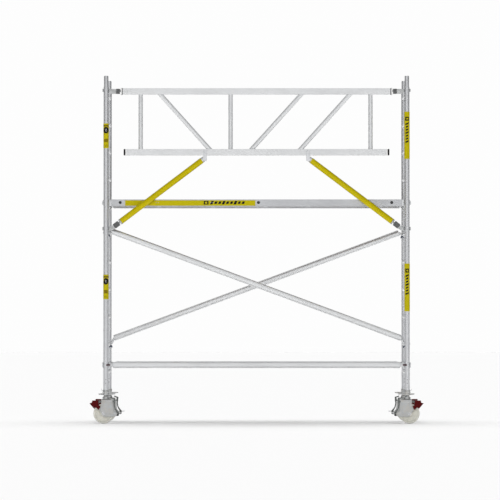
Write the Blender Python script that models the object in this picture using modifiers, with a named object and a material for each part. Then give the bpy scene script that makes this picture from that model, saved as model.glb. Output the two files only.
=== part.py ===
"""Mobile aluminium scaffold tower: two ladder frames a side, hooked platform with a hatch, braces,
one guardrail frame and four braked castors on screw legs.

X runs along the bay, -Y is the guardrail side, +Z is up, and the floor is z = 0 under the tower's middle.
Left is -X, right is +X, front is -Y and rear is +Y. Everything is in metres.
"""

import math

import bmesh
import bpy
from mathutils import Matrix, Vector

# Layout
UPRIGHT_X = 1.515
UPRIGHT_Y = 0.35
GAP = 0.0003
SIDES = {"left": -1, "right": 1}
FACES = {"front": -1, "rear": 1}

# Ladder frames
TUBE_SIDES = 12
RUNG_SIDES = 8
TUBE_R = 0.0254
BORE_R = 0.0234
SPIGOT_R = 0.0222
SPIGOT_BORE_R = 0.0190
SWAGE = 0.040
FRAME_BOTTOM = 0.310
FRAME_JOINT = 2.270
FRAME_TOP = 3.390
SPIGOT_HEIGHT = 0.110
RUNG_R = 0.021
RUNG_BORE_R = 0.019
RUNG_FIRST = 0.515
RUNG_PITCH = 0.280
LOWER_RUNGS = 7
UPPER_RUNGS = 4

# Castors and screw legs, measured outwards (u) from the leg's axis
WHEEL_R = 0.100
WHEEL_HALF = 0.025
WHEEL_SIDES = 20
TRAIL = 0.025
AXLE_R = 0.006
PLATE_IN = 0.0300
PLATE_OUT = 0.0340
CROWN_LOW = 0.2365
CROWN_HIGH = 0.2465
KINGPIN_R = 0.010
SPINDLE_R = 0.019
SPINDLE_BORE_R = 0.0145
SPINDLE_TOP = 0.620
NUT_LOW = 0.283
NUT_R = 0.031
NUT_BORE_R = 0.0199
WING_REACH = 0.097
WING_TURN = math.radians(15)
BRAKE_PIVOT = (-0.119, 0.086)
BRAKE_PIN_R = 0.005
PEDAL_HALF = 0.034
PEDAL_CLEAR_R = 0.106

# Claws that grip an upright and hooks that sit on a rung
CLAW_IN = 0.0268
CLAW_OUT = 0.0375
CLAW_LIP = math.radians(20)
HOOK_IN = 0.0222
HOOK_OUT = 0.0340
HOOK_HALF = 0.015
NECK_HALF = 0.014

# Braces
BRACE_R = 0.0305
BRACE_BORE_R = 0.0280
BRACE_Z = 0.588
BRACE_START = 0.075
DIAGONAL_Y = 0.285
DIAGONAL_R = 0.0295
DIAGONAL_BORE_R = 0.0270
DIAGONAL_RAISE = 0.0415
DIAGONAL_LOW_RUNG = 1
DIAGONAL_HIGH_RUNG = 5

# Guardrail
RAIL_HALF_Z = 0.0315
RAIL_HALF_Y = 0.0225
RAIL_WALL = 0.002
TOP_RAIL_Z = 3.343
MID_RAIL_Z = 2.730
RAIL_END = 1.3485
MID_RAIL_END = 1.338
POST_R = 0.022
POST_BORE_R = 0.020
POSTS_X = (-1.167, -0.261, 1.148)
INFILL = ((-0.996, -0.446), (0.478, -0.076), (0.967, 0.416))
TOP_CLAW_Z = 3.353
ARM_CLAW_Z = 1.960
ARM_LOW = (1.3635, 2.034)
ARM_HIGH = (0.5515, 2.647)
ARM_R = 0.029
ARM_BORE_R = 0.027
NECK_END = 0.1490
FLANGE_END = 0.1655
SHANK_END = 0.2150
TRIGGER_START = 0.1030
TRIGGER_LENGTH = 0.0355
ARM_TRIGGER_START = 0.0275
ARM_TRIGGER_LENGTH = 0.060

# Platform
BEAM_OUT = 0.315
BEAM_IN = 0.285
BEAM_LOW = 2.188
BEAM_HIGH = 2.256
BEAM_END = 1.467
BEAM_WALL = 0.0025
LEDGE = 0.020
DECK_LOW = 2.243
DECK_HIGH = 2.255
HATCH_LOW_X = 0.553
HATCH_HIGH_X = 1.253
HATCH_GAP = 0.003
LATCH_X = 0.903
LATCH_Y = 0.245

PARTS = "scaffold_tower"
COLOURS = {
    "aluminium": ((0.62, 0.63, 0.64), 0.9, 0.38),
    "zinc_steel": ((0.50, 0.54, 0.58), 0.9, 0.40),
    "cream_nylon": ((0.52, 0.51, 0.46), 0.0, 0.50),
    "red_plastic": ((0.27, 0.01, 0.015), 0.0, 0.45),
    "blue_plastic": ((0.02, 0.05, 0.16), 0.0, 0.45),
    "yellow_paint": ((0.58, 0.48, 0.01), 0.0, 0.40),
    "dark_steel": ((0.07, 0.075, 0.08), 0.6, 0.45),
    "dark_plastic": ((0.07, 0.075, 0.08), 0.0, 0.55),
    "plywood": ((0.24, 0.13, 0.07), 0.0, 0.60),
}


# Making shapes

def material(name):
    """The named Principled material of one sub-part, made for it alone."""
    colour, metallic, roughness = COLOURS[name]
    made = bpy.data.materials.new(name)
    made.use_nodes = True
    shader = made.node_tree.nodes["Principled BSDF"]
    shader.inputs["Base Color"].default_value = (*colour, 1.0)
    shader.inputs["Metallic"].default_value = metallic
    shader.inputs["Roughness"].default_value = roughness
    return made


def scene_object(name, data):
    made = bpy.data.objects.new(name, data)
    bpy.context.scene.collection.objects.link(made)
    return made


def baked(source):
    """The evaluated shape of an object as a plain mesh object with welded points and outward faces."""
    bpy.context.view_layer.update()
    graph = bpy.context.evaluated_depsgraph_get()
    mesh = bpy.data.meshes.new_from_object(source.evaluated_get(graph), depsgraph=graph)
    mesh.transform(source.matrix_world)
    bpy.data.objects.remove(source)
    shape = bmesh.new()
    shape.from_mesh(mesh)
    bmesh.ops.remove_doubles(shape, verts=shape.verts, dist=0.00001)
    bmesh.ops.recalc_face_normals(shape, faces=shape.faces)
    shape.to_mesh(mesh)
    shape.free()
    return scene_object("shape", mesh)


def turned(profile, segments, closed=False, place=Matrix()):
    """Turns (radius, height) points about Z; a closed profile leaves a bore."""
    mesh = bpy.data.meshes.new("profile")
    edges = [(i, i + 1) for i in range(len(profile) - 1)]
    if closed:
        edges.append((len(profile) - 1, 0))
    mesh.from_pydata([(radius, 0, height) for radius, height in profile], edges, [])
    made = scene_object("profile", mesh)
    screw = made.modifiers.new("Screw", "SCREW")
    screw.steps = screw.render_steps = segments
    screw.use_merge_vertices = True
    screw.merge_threshold = 0.00001
    made.matrix_world = place
    return baked(made)


def block(low, high):
    """A box between two corners."""
    low, high = Vector(low), Vector(high)
    mesh = bpy.data.meshes.new("block")
    shape = bmesh.new()
    place = Matrix.Translation((low + high) / 2) @ Matrix.Diagonal((*(high - low), 1))
    bmesh.ops.create_cube(shape, size=1, matrix=place)
    shape.to_mesh(mesh)
    shape.free()
    return scene_object("block", mesh)


def rod(radius, start, end, segments):
    """A round bar between two points."""
    start, end = Vector(start), Vector(end)
    along = end - start
    turn = along.to_track_quat("Z", "Y").to_matrix().to_4x4()
    mesh = bpy.data.meshes.new("rod")
    shape = bmesh.new()
    bmesh.ops.create_cone(
        shape, cap_ends=True, segments=segments, radius1=radius, radius2=radius,
        depth=along.length, matrix=Matrix.Translation((start + end) / 2) @ turn,
    )
    shape.to_mesh(mesh)
    shape.free()
    return scene_object("rod", mesh)


def plate(outline, low, high, upright=True):
    """A flat outline between two levels: x-z points spread along Y, or x-y points along Z if not upright."""
    curve = bpy.data.curves.new("plate", "CURVE")
    curve.dimensions = "2D"
    curve.fill_mode = "BOTH"
    curve.extrude = (high - low) / 2
    line = curve.splines.new("POLY")
    line.points.add(len(outline) - 1)
    for point, (first, second) in zip(line.points, outline):
        point.co = (first, second, 0, 1)
    line.use_cyclic_u = True
    made = scene_object("plate", curve)
    middle = (low + high) / 2
    if upright:
        made.matrix_world = Matrix.Translation((0, middle, 0)) @ Matrix.Rotation(math.pi / 2, 4, "X")
    else:
        made.matrix_world = Matrix.Translation((0, 0, middle))
    return baked(made)


def arc(centre, radius, start, end, steps):
    """Points along an arc, from one angle to the other."""
    angles = [start + (end - start) * i / steps for i in range(steps + 1)]
    return [(centre[0] + radius * math.cos(a), centre[1] + radius * math.sin(a)) for a in angles]


def ring_sector(centre, inner, outer, start, end, steps):
    return arc(centre, outer, start, end, steps) + arc(centre, inner, end, start, steps)


def combined(base, others, operation):
    """Base united with others, or cut by them."""
    group = bpy.data.collections.new("operands")
    bpy.context.scene.collection.children.link(group)
    for other in others:
        bpy.context.scene.collection.objects.unlink(other)
        group.objects.link(other)
    boolean = base.modifiers.new("Boolean", "BOOLEAN")
    boolean.operation = operation
    boolean.operand_type = "COLLECTION"
    boolean.collection = group
    made = baked(base)
    for other in others:
        bpy.data.objects.remove(other)
    bpy.data.collections.remove(group)
    return made


def union(base, *others):
    return combined(base, others, "UNION")


def cut(base, *others):
    return combined(base, others, "DIFFERENCE")


def finished(name, shape, look, origin=(0, 0, 0), flip_x=1, flip_y=1, move=(0, 0, 0)):
    """Places a shape as a named sub-part, mirrored and moved as asked, with its own origin and material."""
    mesh = shape.data
    mesh.transform(Matrix.Translation(move) @ Matrix.Diagonal((flip_x, flip_y, 1, 1)))
    if flip_x * flip_y < 0:
        mesh.flip_normals()
    mesh.transform(Matrix.Translation(-Vector(origin)))
    bpy.data.objects.remove(shape)
    mesh.name = name
    mesh.materials.clear()
    mesh.materials.append(material(look))
    mesh.shade_smooth()
    mesh.set_sharp_from_angle(angle=math.radians(40))
    made = bpy.data.objects.new(name, mesh)
    made.location = origin
    bpy.data.collections[PARTS].objects.link(made)
    return made


def corner_names():
    for side, flip_x in SIDES.items():
        for face, flip_y in FACES.items():
            yield f"{face}_{side}", flip_x, flip_y


def rung_height(index):
    return RUNG_FIRST + RUNG_PITCH * index


# Ladder frames

def ladder_frame(name, side, bottom, top, first_rung, rungs):
    """Two hollow uprights with spigots swaged into their tops, and the hollow rungs welded between them."""
    x = SIDES[side] * UPRIGHT_X
    spigot_top = top + SPIGOT_HEIGHT
    heights = [rung_height(first_rung + i) for i in range(rungs)]
    outside = ((0, spigot_top), (SPIGOT_R, spigot_top), (SPIGOT_R, top), (TUBE_R, top),
               (TUBE_R, bottom), (0, bottom))
    inside = ((0, spigot_top + 0.01), (SPIGOT_BORE_R, spigot_top + 0.01), (SPIGOT_BORE_R, top - SWAGE),
              (BORE_R, top - SWAGE), (BORE_R, bottom - 0.01), (0, bottom - 0.01))
    posts = [Matrix.Translation((x, y, 0)) for y in (-UPRIGHT_Y, UPRIGHT_Y)]
    solids = [turned(outside, TUBE_SIDES, place=post) for post in posts]
    solids += [rod(RUNG_R, (x, -UPRIGHT_Y, z), (x, UPRIGHT_Y, z), RUNG_SIDES) for z in heights]
    bores = [turned(inside, TUBE_SIDES, place=post) for post in posts]
    bores += [rod(RUNG_BORE_R, (x, -UPRIGHT_Y, z), (x, UPRIGHT_Y, z), RUNG_SIDES) for z in heights]
    finished(name, cut(union(*solids), *bores), "aluminium")


# Castors and legs, drawn for the front right corner's axis at the origin and then mirrored

def leg_shape():
    """Kingpin head, kingpin, top plate and screw spindle, turned in one piece and bored from above."""
    outside = ((0, SPINDLE_TOP), (SPINDLE_R, SPINDLE_TOP), (SPINDLE_R, 0.275), (0.025, 0.270),
               (0.034, 0.262), (0.034, 0.247), (KINGPIN_R, 0.247), (KINGPIN_R, 0.236),
               (0.015, 0.236), (0.015, 0.230), (0, 0.230))
    bore = rod(SPINDLE_BORE_R, (0, 0, 0.290), (0, 0, SPINDLE_TOP + 0.01), 8)
    return cut(turned(outside, TUBE_SIDES), bore)


def nut_shape():
    """Adjusting nut: a threaded hub, a cup that centres the upright and three wings."""
    seat = FRAME_BOTTOM - GAP
    hub = turned(((NUT_R, 0.335), (NUT_R, NUT_LOW), (NUT_BORE_R, NUT_LOW), (NUT_BORE_R, seat),
                  (0.0266, seat), (0.0266, 0.335)), TUBE_SIDES, closed=True)
    wings = []
    for i in range(3):
        wing = block((0.028, -0.007, 0.286), (WING_REACH, 0.007, 0.304))
        wing.data.transform(Matrix.Rotation(math.pi + WING_TURN + i * math.tau / 3, 4, "Z"))
        wings.append(wing)
    return union(hub, *wings)


def fork_shape():
    """Pressed fork: crown, two side plates with a nose for the brake's pin, the axle and that pin."""
    outline = ((0.045, 0.244), (0.045, 0.178), (0.065, 0.140), (0.023, 0.070), (-0.048, 0.068),
               (-0.124, 0.076), (-0.129, 0.086), (-0.124, 0.097), (-0.092, 0.112), (-0.078, 0.132),
               (-0.076, 0.190), (-0.062, 0.244))
    crown = block((-0.062, -0.0345, CROWN_LOW), (0.045, 0.0345, CROWN_HIGH))
    pivot_x, pivot_z = BRAKE_PIVOT
    pieces = (
        plate(outline, PLATE_IN, PLATE_OUT),
        plate(outline, -PLATE_OUT, -PLATE_IN),
        rod(AXLE_R, (TRAIL, -0.032, WHEEL_R), (TRAIL, 0.032, WHEEL_R), 8),
        rod(0.011, (TRAIL, -0.041, WHEEL_R), (TRAIL, -0.032, WHEEL_R), 6),
        rod(0.011, (TRAIL, 0.032, WHEEL_R), (TRAIL, 0.041, WHEEL_R), 6),
        rod(BRAKE_PIN_R, (pivot_x, -0.038, pivot_z), (pivot_x, 0.038, pivot_z), 8),
    )
    kingpin_hole = rod(KINGPIN_R + 0.0008, (0, 0, CROWN_LOW - 0.01), (0, 0, CROWN_HIGH + 0.01), TUBE_SIDES)
    return cut(union(crown, *pieces), kingpin_hole)


def wheel_shape():
    """Wheel turned about Y, with flats on the tread so that one rests on the floor."""
    tread = WHEEL_R / math.cos(math.pi / WHEEL_SIDES)
    profile = ((tread, 0.022), (tread, -0.022), (0.088, -WHEEL_HALF), (0.074, -0.012), (0.022, -0.0285),
               (0.0068, -0.0285), (0.0068, 0.0285), (0.022, 0.0285), (0.074, 0.012), (0.088, WHEEL_HALF))
    lie_down = Matrix.Rotation(math.pi / 2, 4, "X")
    flat_down = Matrix.Rotation(math.pi / WHEEL_SIDES, 4, "Z")
    return turned(profile, WHEEL_SIDES, closed=True, place=lie_down @ flat_down)


def brake_lever_shape():
    """Bent lever pinned at the fork's nose: it runs over the wheel to the pedal, and has a lock horn and a toe tab."""
    outline = ((0.0735, 0.231), (0.050, 0.231), (0.040, 0.221), (-0.072, 0.221), (-0.080, 0.245),
               (-0.050, 0.256), (-0.050, 0.267), (-0.096, 0.252), (-0.094, 0.215), (-0.090, 0.190),
               (-0.098, 0.150), (-0.126, 0.115), (-0.161, 0.110), (-0.161, 0.103), (-0.130, 0.103),
               (-0.130, 0.078), (-0.108, 0.078), (-0.108, 0.114), (-0.088, 0.146), (-0.080, 0.186),
               (-0.078, 0.2125), (0.048, 0.2125), (0.056, 0.207), (0.0735, 0.207))
    pivot_x, pivot_z = BRAKE_PIVOT
    bore = rod(BRAKE_PIN_R + 0.0007, (pivot_x, -0.03, pivot_z), (pivot_x, 0.03, pivot_z), 10)
    return cut(plate(outline, -0.020, 0.020), bore)


def pedal_shape():
    """Foot pedal: a channel that straddles the wheel's tread beside the fork plates."""
    outline = ((0.082, 0.230), (0.136, 0.231), (0.140, 0.210), (0.164, 0.203), (0.116, 0.148),
               (0.101, 0.166), (0.071, 0.136), (0.054, 0.173), (0.0740, 0.190), (0.0740, 0.222))
    half = WHEEL_HALF + 0.0025
    clearance = rod(PEDAL_CLEAR_R, (TRAIL, -half, WHEEL_R), (TRAIL, half, WHEEL_R), 32)
    return cut(plate(outline, -PEDAL_HALF, PEDAL_HALF), clearance)


def castor(corner, flip_x, flip_y):
    x, y = flip_x * UPRIGHT_X, flip_y * UPRIGHT_Y
    pivot_x, pivot_z = BRAKE_PIVOT
    axis = (x, y, CROWN_HIGH)
    pieces = (
        ("leg", leg_shape(), "zinc_steel", axis),
        ("wing_nut", nut_shape(), "zinc_steel", axis),
        ("fork", fork_shape(), "zinc_steel", axis),
        ("brake_lever", brake_lever_shape(), "dark_steel", (x + flip_x * pivot_x, y, pivot_z)),
        ("brake_pedal", pedal_shape(), "red_plastic", (x + flip_x * pivot_x, y, pivot_z)),
    )
    for piece, shape, look, origin in pieces:
        finished(f"{piece}_{corner}", shape, look, origin, flip_x, -flip_y, (x, y, 0))
    hub = (x + flip_x * TRAIL, y, WHEEL_R)
    finished(f"wheel_{corner}", wheel_shape(), "cream_nylon", hub, move=hub)


# Claws, hooks and their pawls, drawn about the tube that they hold, with the brace towards -X

def upright_claw(half_height):
    """Jaw around the inner half of an upright, open towards -Y, with its lips just past half way round."""
    jaw = ring_sector((0, 0), CLAW_IN, CLAW_OUT, -CLAW_LIP, math.pi + CLAW_LIP, 12)
    return plate(jaw, -half_height, half_height, upright=False)


def upright_pawl():
    """Pawl that closes the claw's mouth: a curved finger with a thumb lever at its pin."""
    first, last = -math.pi + math.radians(27), -math.pi + math.radians(80)
    finger = arc((0, 0), CLAW_IN, last, first, 6)
    lever = [(-0.0360, -0.0170), (-0.0450, -0.0330), (-0.0380, -0.0370), (-0.0270, -0.0290)]
    tip = arc((0, 0), 0.0350, first + math.radians(35), last, 3)
    return plate(finger + lever + tip, -0.007, 0.007, upright=False)


def rung_hook():
    """Hook that sits over a rung, from just under its inner side to just past its outer side."""
    half = ring_sector((0, 0), HOOK_IN, HOOK_OUT, math.radians(-5), math.radians(190), 10)
    return plate(half, -HOOK_HALF, HOOK_HALF)


def rung_pawl():
    """Pawl under the hook's inner side, with a thumb lever."""
    first, last = math.radians(198), math.radians(262)
    finger = arc((0, 0), HOOK_IN, last, first, 6)
    lever = [(-0.0330, -0.0110), (-0.0400, -0.0330), (-0.0330, -0.0370), (-0.0250, -0.0270)]
    tip = arc((0, 0), 0.0310, math.radians(238), last, 2)
    return plate(finger + lever + tip, -0.008, 0.008)


# Braces

def horizontal_brace(face):
    """Tube with an upright claw at each end; two small drain holes open its bore."""
    end = UPRIGHT_X - BRACE_START
    solids = [rod(BRACE_R, (-end, 0, 0), (end, 0, 0), 14)]
    for flip in SIDES.values():
        jaw = upright_claw(0.026)
        jaw.data.transform(Matrix.Translation((flip * UPRIGHT_X, 0, 0)))
        near, far = flip * (UPRIGHT_X - 0.032), flip * (end - 0.010)
        solids.append(jaw)
        solids.append(block((min(near, far), -0.012, -0.017), (max(near, far), 0.012, 0.017)))
    shell = union(*solids)
    inner = end - 0.012
    drains = [rod(0.004, (x, 0, -0.04), (x, 0, 0), 6) for x in (-inner + 0.05, inner - 0.05)]
    tube = cut(shell, rod(BRACE_BORE_R, (-inner, 0, 0), (inner, 0, 0), 14), *drains)
    flip_y = FACES[face]
    finished(f"horizontal_brace_{face}", tube, "aluminium",
             flip_y=-flip_y, move=(0, flip_y * UPRIGHT_Y, BRACE_Z))
    for side, flip_x in SIDES.items():
        x, y = flip_x * UPRIGHT_X, flip_y * UPRIGHT_Y
        pin = (x - flip_x * 0.0330, y + flip_y * 0.0150, BRACE_Z)
        finished(f"brace_pawl_{face}_{side}", upright_pawl(), "red_plastic", pin,
                 flip_x, -flip_y, (x, y, BRACE_Z))


def diagonal_brace(face):
    """Tube that rises from a rung on one side to a rung four higher on the other, with a hook at each end."""
    lean = -1 if face == "front" else 1
    low, high = rung_height(DIAGONAL_LOW_RUNG), rung_height(DIAGONAL_HIGH_RUNG)
    left_z, right_z = (low, high) if lean > 0 else (high, low)
    left = Vector((-UPRIGHT_X, 0, left_z + DIAGONAL_RAISE))
    right = Vector((UPRIGHT_X, 0, right_z + DIAGONAL_RAISE))
    along = (right - left).normalized()
    ends = ((left, along, left_z, -1), (right, -along, right_z, 1))
    solids = [rod(DIAGONAL_R, left + along * 0.060, right - along * 0.060, 12)]
    for point, inwards, rung_z, flip in ends:
        hook = rung_hook()
        hook.data.transform(Matrix.Translation((flip * UPRIGHT_X, 0, rung_z)) @ Matrix.Diagonal((flip, 1, 1, 1)))
        if flip < 0:
            hook.data.flip_normals()
        solids.append(hook)
        root = Vector((flip * (UPRIGHT_X - 0.028), 0, rung_z + 0.006))
        solids.append(rod(0.0125, root, point + inwards * 0.075, 8))
    shell = union(*solids)
    first, last = left + along * 0.072, right - along * 0.072
    drains = []
    for point in (first + along * 0.05, last - along * 0.05):
        drains.append(rod(0.004, point - Vector((0, 0, 0.04)), point, 6))
    tube = cut(shell, rod(DIAGONAL_BORE_R, first, last, 12), *drains)
    y = FACES[face] * DIAGONAL_Y
    finished(f"diagonal_brace_{face}", tube, "aluminium", move=(0, y, 0))
    for side, flip_x in SIDES.items():
        rung_z = left_z if side == "left" else right_z
        pin = (flip_x * (UPRIGHT_X - 0.0300), y, rung_z - 0.0120)
        finished(f"diagonal_pawl_{face}_{side}", rung_pawl(), "blue_plastic", pin,
                 flip_x, 1, (flip_x * UPRIGHT_X, y, rung_z))


# Guardrail

def guardrail_frame():
    """Two hollow rails with the posts and infill tubes welded between them, and the two stubs for the arms."""
    y = -UPRIGHT_Y
    low_z, high_z = MID_RAIL_Z, TOP_RAIL_Z
    lines = [((x, y, low_z), (x, y, high_z)) for x in POSTS_X]
    lines += [((low_x, y, low_z), (high_x, y, high_z)) for high_x, low_x in INFILL]
    rails = [block((-RAIL_END, y - RAIL_HALF_Y, high_z - RAIL_HALF_Z),
                   (RAIL_END, y + RAIL_HALF_Y, high_z + RAIL_HALF_Z)),
             block((-MID_RAIL_END, y - RAIL_HALF_Y, low_z - RAIL_HALF_Z),
                   (MID_RAIL_END, y + RAIL_HALF_Y, low_z + RAIL_HALF_Z))]
    inner_y, inner_z = RAIL_HALF_Y - RAIL_WALL, RAIL_HALF_Z - RAIL_WALL
    bores = [block((-1.4, y - inner_y, z - inner_z), (1.4, y + inner_y, z + inner_z)) for z in (low_z, high_z)]
    shell = union(*rails, *[rod(POST_R, *line, 10) for line in lines])
    hollow = cut(shell, *bores, *[rod(POST_BORE_R, *line, 10) for line in lines])
    stubs = []
    for flip in SIDES.values():
        low = Vector((flip * ARM_LOW[0], y, ARM_LOW[1]))
        high = Vector((flip * ARM_HIGH[0], y, ARM_HIGH[1]))
        along = (high - low).normalized()
        middle = flip * 0.519
        stubs.append(block((middle - 0.019, y - RAIL_HALF_Y - 0.004, 2.640),
                           (middle + 0.019, y - RAIL_HALF_Y + 0.0015, 2.749)))
        stubs.append(block((middle - 0.017, y - RAIL_HALF_Y + 0.0012, 2.645),
                           (middle + 0.017, y + 0.020, low_z - RAIL_HALF_Z + 0.001)))
        stubs.append(rod(ARM_BORE_R - 0.0008, high - along * 0.055, high + along * 0.030, 12))
    finished("guardrail_frame", union(hollow, *stubs), "aluminium")


def top_claw(side):
    """Cast claw of the top rail: jaw, shoulder, square neck, flange and the shank inside the rail."""
    jaw = upright_claw(0.0150)
    jaw.data.transform(Matrix.Translation((0, 0, TOP_CLAW_Z - TOP_RAIL_Z)))
    neck = block((-NECK_END, -NECK_HALF, -0.006), (-0.031, NECK_HALF, 0.018))
    shoulder = block((-TRIGGER_START + 0.001, -0.016, -0.0235), (-0.033, 0.016, 0.0245))
    flange = block((-FLANGE_END, -0.0245, -0.0330), (-NECK_END + 0.001, 0.0245, 0.0330))
    shank = block((-SHANK_END, -0.0195, -0.0285), (-FLANGE_END + 0.001, 0.0195, 0.0285))
    place = (SIDES[side] * UPRIGHT_X, -UPRIGHT_Y, TOP_RAIL_Z)
    finished(f"guardrail_claw_{side}", union(jaw, shoulder, neck, flange, shank), "zinc_steel",
             place, SIDES[side], 1, place)


def top_trigger(side):
    """Pull sleeve around the claw's neck that frees the claw."""
    sleeve = block((-TRIGGER_START - TRIGGER_LENGTH, -0.022, -0.024), (-TRIGGER_START, 0.022, 0.026))
    window = block((-0.2, -NECK_HALF - 0.0005, -0.0065), (0, NECK_HALF + 0.0005, 0.0185))
    place = (SIDES[side] * UPRIGHT_X, -UPRIGHT_Y, TOP_RAIL_Z)
    finished(f"guardrail_trigger_{side}", cut(sleeve, window), "dark_plastic", place, SIDES[side], 1, place)


def arm_frame():
    """Matrix that lays -X along the right arm, from where its line meets the upright's axis."""
    low = Vector((ARM_LOW[0], 0, ARM_LOW[1]))
    along = (Vector((ARM_HIGH[0], 0, ARM_HIGH[1])) - low).normalized()
    reach = (UPRIGHT_X - low.x) / -along.x
    foot = low - along * reach
    turn = Matrix.Rotation(math.atan2(along.z, -along.x), 4, "Y")
    return Matrix.Translation(foot) @ turn, reach


def arm(side):
    """Yellow tube from the lower claw up to its stub under the mid rail."""
    flip = SIDES[side]
    low, high = (ARM_LOW[0], 0, ARM_LOW[1]), (ARM_HIGH[0], 0, ARM_HIGH[1])
    along = (Vector(high) - Vector(low)).normalized()
    bore = rod(ARM_BORE_R, Vector(low) - along * 0.01, Vector(high) + along * 0.01, 16)
    finished(f"guardrail_arm_{side}", cut(rod(ARM_R, low, high, 16), bore), "yellow_paint",
             flip_x=flip, move=(0, -UPRIGHT_Y, 0))


def arm_claw(side):
    """Cast claw of an arm: jaw on the upright, shoulder, sloping neck, flange and the shank inside the arm."""
    place, reach = arm_frame()
    jaw = upright_claw(0.0170)
    jaw.data.transform(Matrix.Translation((UPRIGHT_X, 0, ARM_CLAW_Z)))
    neck = block((-reach + 0.015, -NECK_HALF, -0.010), (-0.040, NECK_HALF, 0.010))
    shoulder = block((-reach + ARM_TRIGGER_START + ARM_TRIGGER_LENGTH + 0.0015, -0.018, -0.019),
                     (-0.052, 0.018, 0.019))
    flange = rod(ARM_R, (-reach + GAP, 0, 0), (-reach + 0.016, 0, 0), 16)
    shank = rod(ARM_BORE_R - 0.0008, (-reach - 0.050, 0, 0), (-reach + 0.001, 0, 0), 16)
    for piece in (shoulder, neck, flange, shank):
        piece.data.transform(place)
    finished(f"arm_claw_{side}", union(jaw, shoulder, neck, flange, shank), "zinc_steel",
             flip_x=SIDES[side], move=(0, -UPRIGHT_Y, 0))


def arm_trigger(side):
    """Pull sleeve around the arm claw's neck."""
    place, reach = arm_frame()
    start = -reach + ARM_TRIGGER_START
    sleeve = block((start, -0.023, -0.025), (start + ARM_TRIGGER_LENGTH, 0.023, 0.025))
    window = block((-0.3, -NECK_HALF - 0.0005, -0.0105), (0, NECK_HALF + 0.0005, 0.0105))
    shape = cut(sleeve, window)
    shape.data.transform(place)
    finished(f"arm_trigger_{side}", shape, "dark_plastic", flip_x=SIDES[side], move=(0, -UPRIGHT_Y, 0))


# Platform

def platform_chassis():
    """Hollow side beams joined by cross members, with ledges that carry the deck and the hatch."""
    solids, bores = [], []
    for flip in FACES.values():
        outer, inner, ledge = flip * BEAM_OUT, flip * BEAM_IN, flip * (BEAM_IN - LEDGE)
        near, far = min(outer, inner), max(outer, inner)
        solids.append(block((-BEAM_END, near, BEAM_LOW), (BEAM_END, far, BEAM_HIGH)))
        solids.append(block((-BEAM_END, min(inner, ledge) - 0.0005, 2.2310),
                            (BEAM_END, max(inner, ledge) + 0.0005, DECK_LOW - GAP)))
        bores.append(block((-1.5, near + BEAM_WALL, BEAM_LOW + BEAM_WALL),
                           (1.5, far - BEAM_WALL, BEAM_HIGH - BEAM_WALL)))
    for x in (-1.0, -0.45, 0.10, HATCH_LOW_X - 0.020, HATCH_HIGH_X + 0.020):
        solids.append(block((x - 0.0185, -BEAM_IN - 0.001, 2.2050), (x + 0.0185, BEAM_IN + 0.001, DECK_LOW - 0.0005)))
    finished("platform_chassis", cut(union(*solids), *bores), "aluminium")


def platform_end(side):
    """End casting: a bar across both beams with a hook over the rung at each corner."""
    rung_z = rung_height(LOWER_RUNGS - 1)
    bar = block((BEAM_END + GAP, -BEAM_OUT, 2.195), (1.4885, BEAM_OUT, 2.2535))
    outline = [(1.480, 2.2555), (1.480, rung_z - 0.004), (UPRIGHT_X - HOOK_IN, rung_z - 0.004)]
    outline += arc((UPRIGHT_X, rung_z), HOOK_IN, math.pi, 0, 8)
    outline += [(UPRIGHT_X + HOOK_IN, rung_z - 0.001), (1.556, rung_z + 0.010), (1.560, rung_z + 0.024),
                (1.550, rung_z + 0.0500), (1.530, 2.2555)]
    hooks = [plate(outline, y - 0.018, y + 0.018) for y in (-0.292, 0.292)]
    flip = SIDES[side]
    finished(f"platform_end_{side}", union(bar, *hooks), "aluminium", flip_x=flip)


def windlock(side):
    """Flap that swings under the rung so that the platform can't lift."""
    rung_z = rung_height(LOWER_RUNGS - 1)
    outline = ((1.4895, 2.1935), (1.4740, 2.1935), (1.4700, 2.1895), (1.4700, 2.1830), (1.4800, 2.1640), (1.5280, 2.1640),
               (1.5280, rung_z - 0.0225), (1.4895, rung_z - 0.0225))
    pin = (SIDES[side] * 1.4760, 0, 2.1880)
    finished(f"windlock_{side}", plate(outline, -0.030, 0.030), "zinc_steel", pin, flip_x=SIDES[side])


def deck():
    """Two fixed plywood panels with the hatch between them."""
    edge = BEAM_IN - 0.0005
    long_panel = block((-BEAM_END, -edge, DECK_LOW), (HATCH_LOW_X - HATCH_GAP, edge, DECK_HIGH))
    short_panel = block((HATCH_HIGH_X + HATCH_GAP, -edge, DECK_LOW), (BEAM_END, edge, DECK_HIGH))
    finished("deck_panel_long", long_panel, "plywood")
    finished("deck_panel_short", short_panel, "plywood")


def hatch():
    """Plywood trapdoor hinged along the front beam, and the turn latch at its free edge."""
    edge = BEAM_IN - 0.0010
    panel = block((HATCH_LOW_X, -edge, DECK_LOW), (HATCH_HIGH_X, edge - 0.001, DECK_HIGH))
    hole = rod(0.0080, (LATCH_X, LATCH_Y, DECK_LOW - 0.01), (LATCH_X, LATCH_Y, DECK_HIGH + 0.01), 12)
    finished("hatch", cut(panel, hole), "plywood", (0, -edge, DECK_HIGH))
    stem = turned(((0, 2.2590), (0.018, 2.2590), (0.018, DECK_HIGH + GAP), (0.007, DECK_HIGH + GAP),
                   (0.007, 2.2250), (0, 2.2250)), 16, place=Matrix.Translation((LATCH_X, LATCH_Y, 0)))
    bolt = block((LATCH_X - 0.030, LATCH_Y - 0.010, 2.2240), (LATCH_X + 0.035, LATCH_Y + 0.010, 2.2300))
    finished("hatch_latch", union(stem, bolt), "dark_plastic", (LATCH_X, LATCH_Y, DECK_HIGH))


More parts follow.
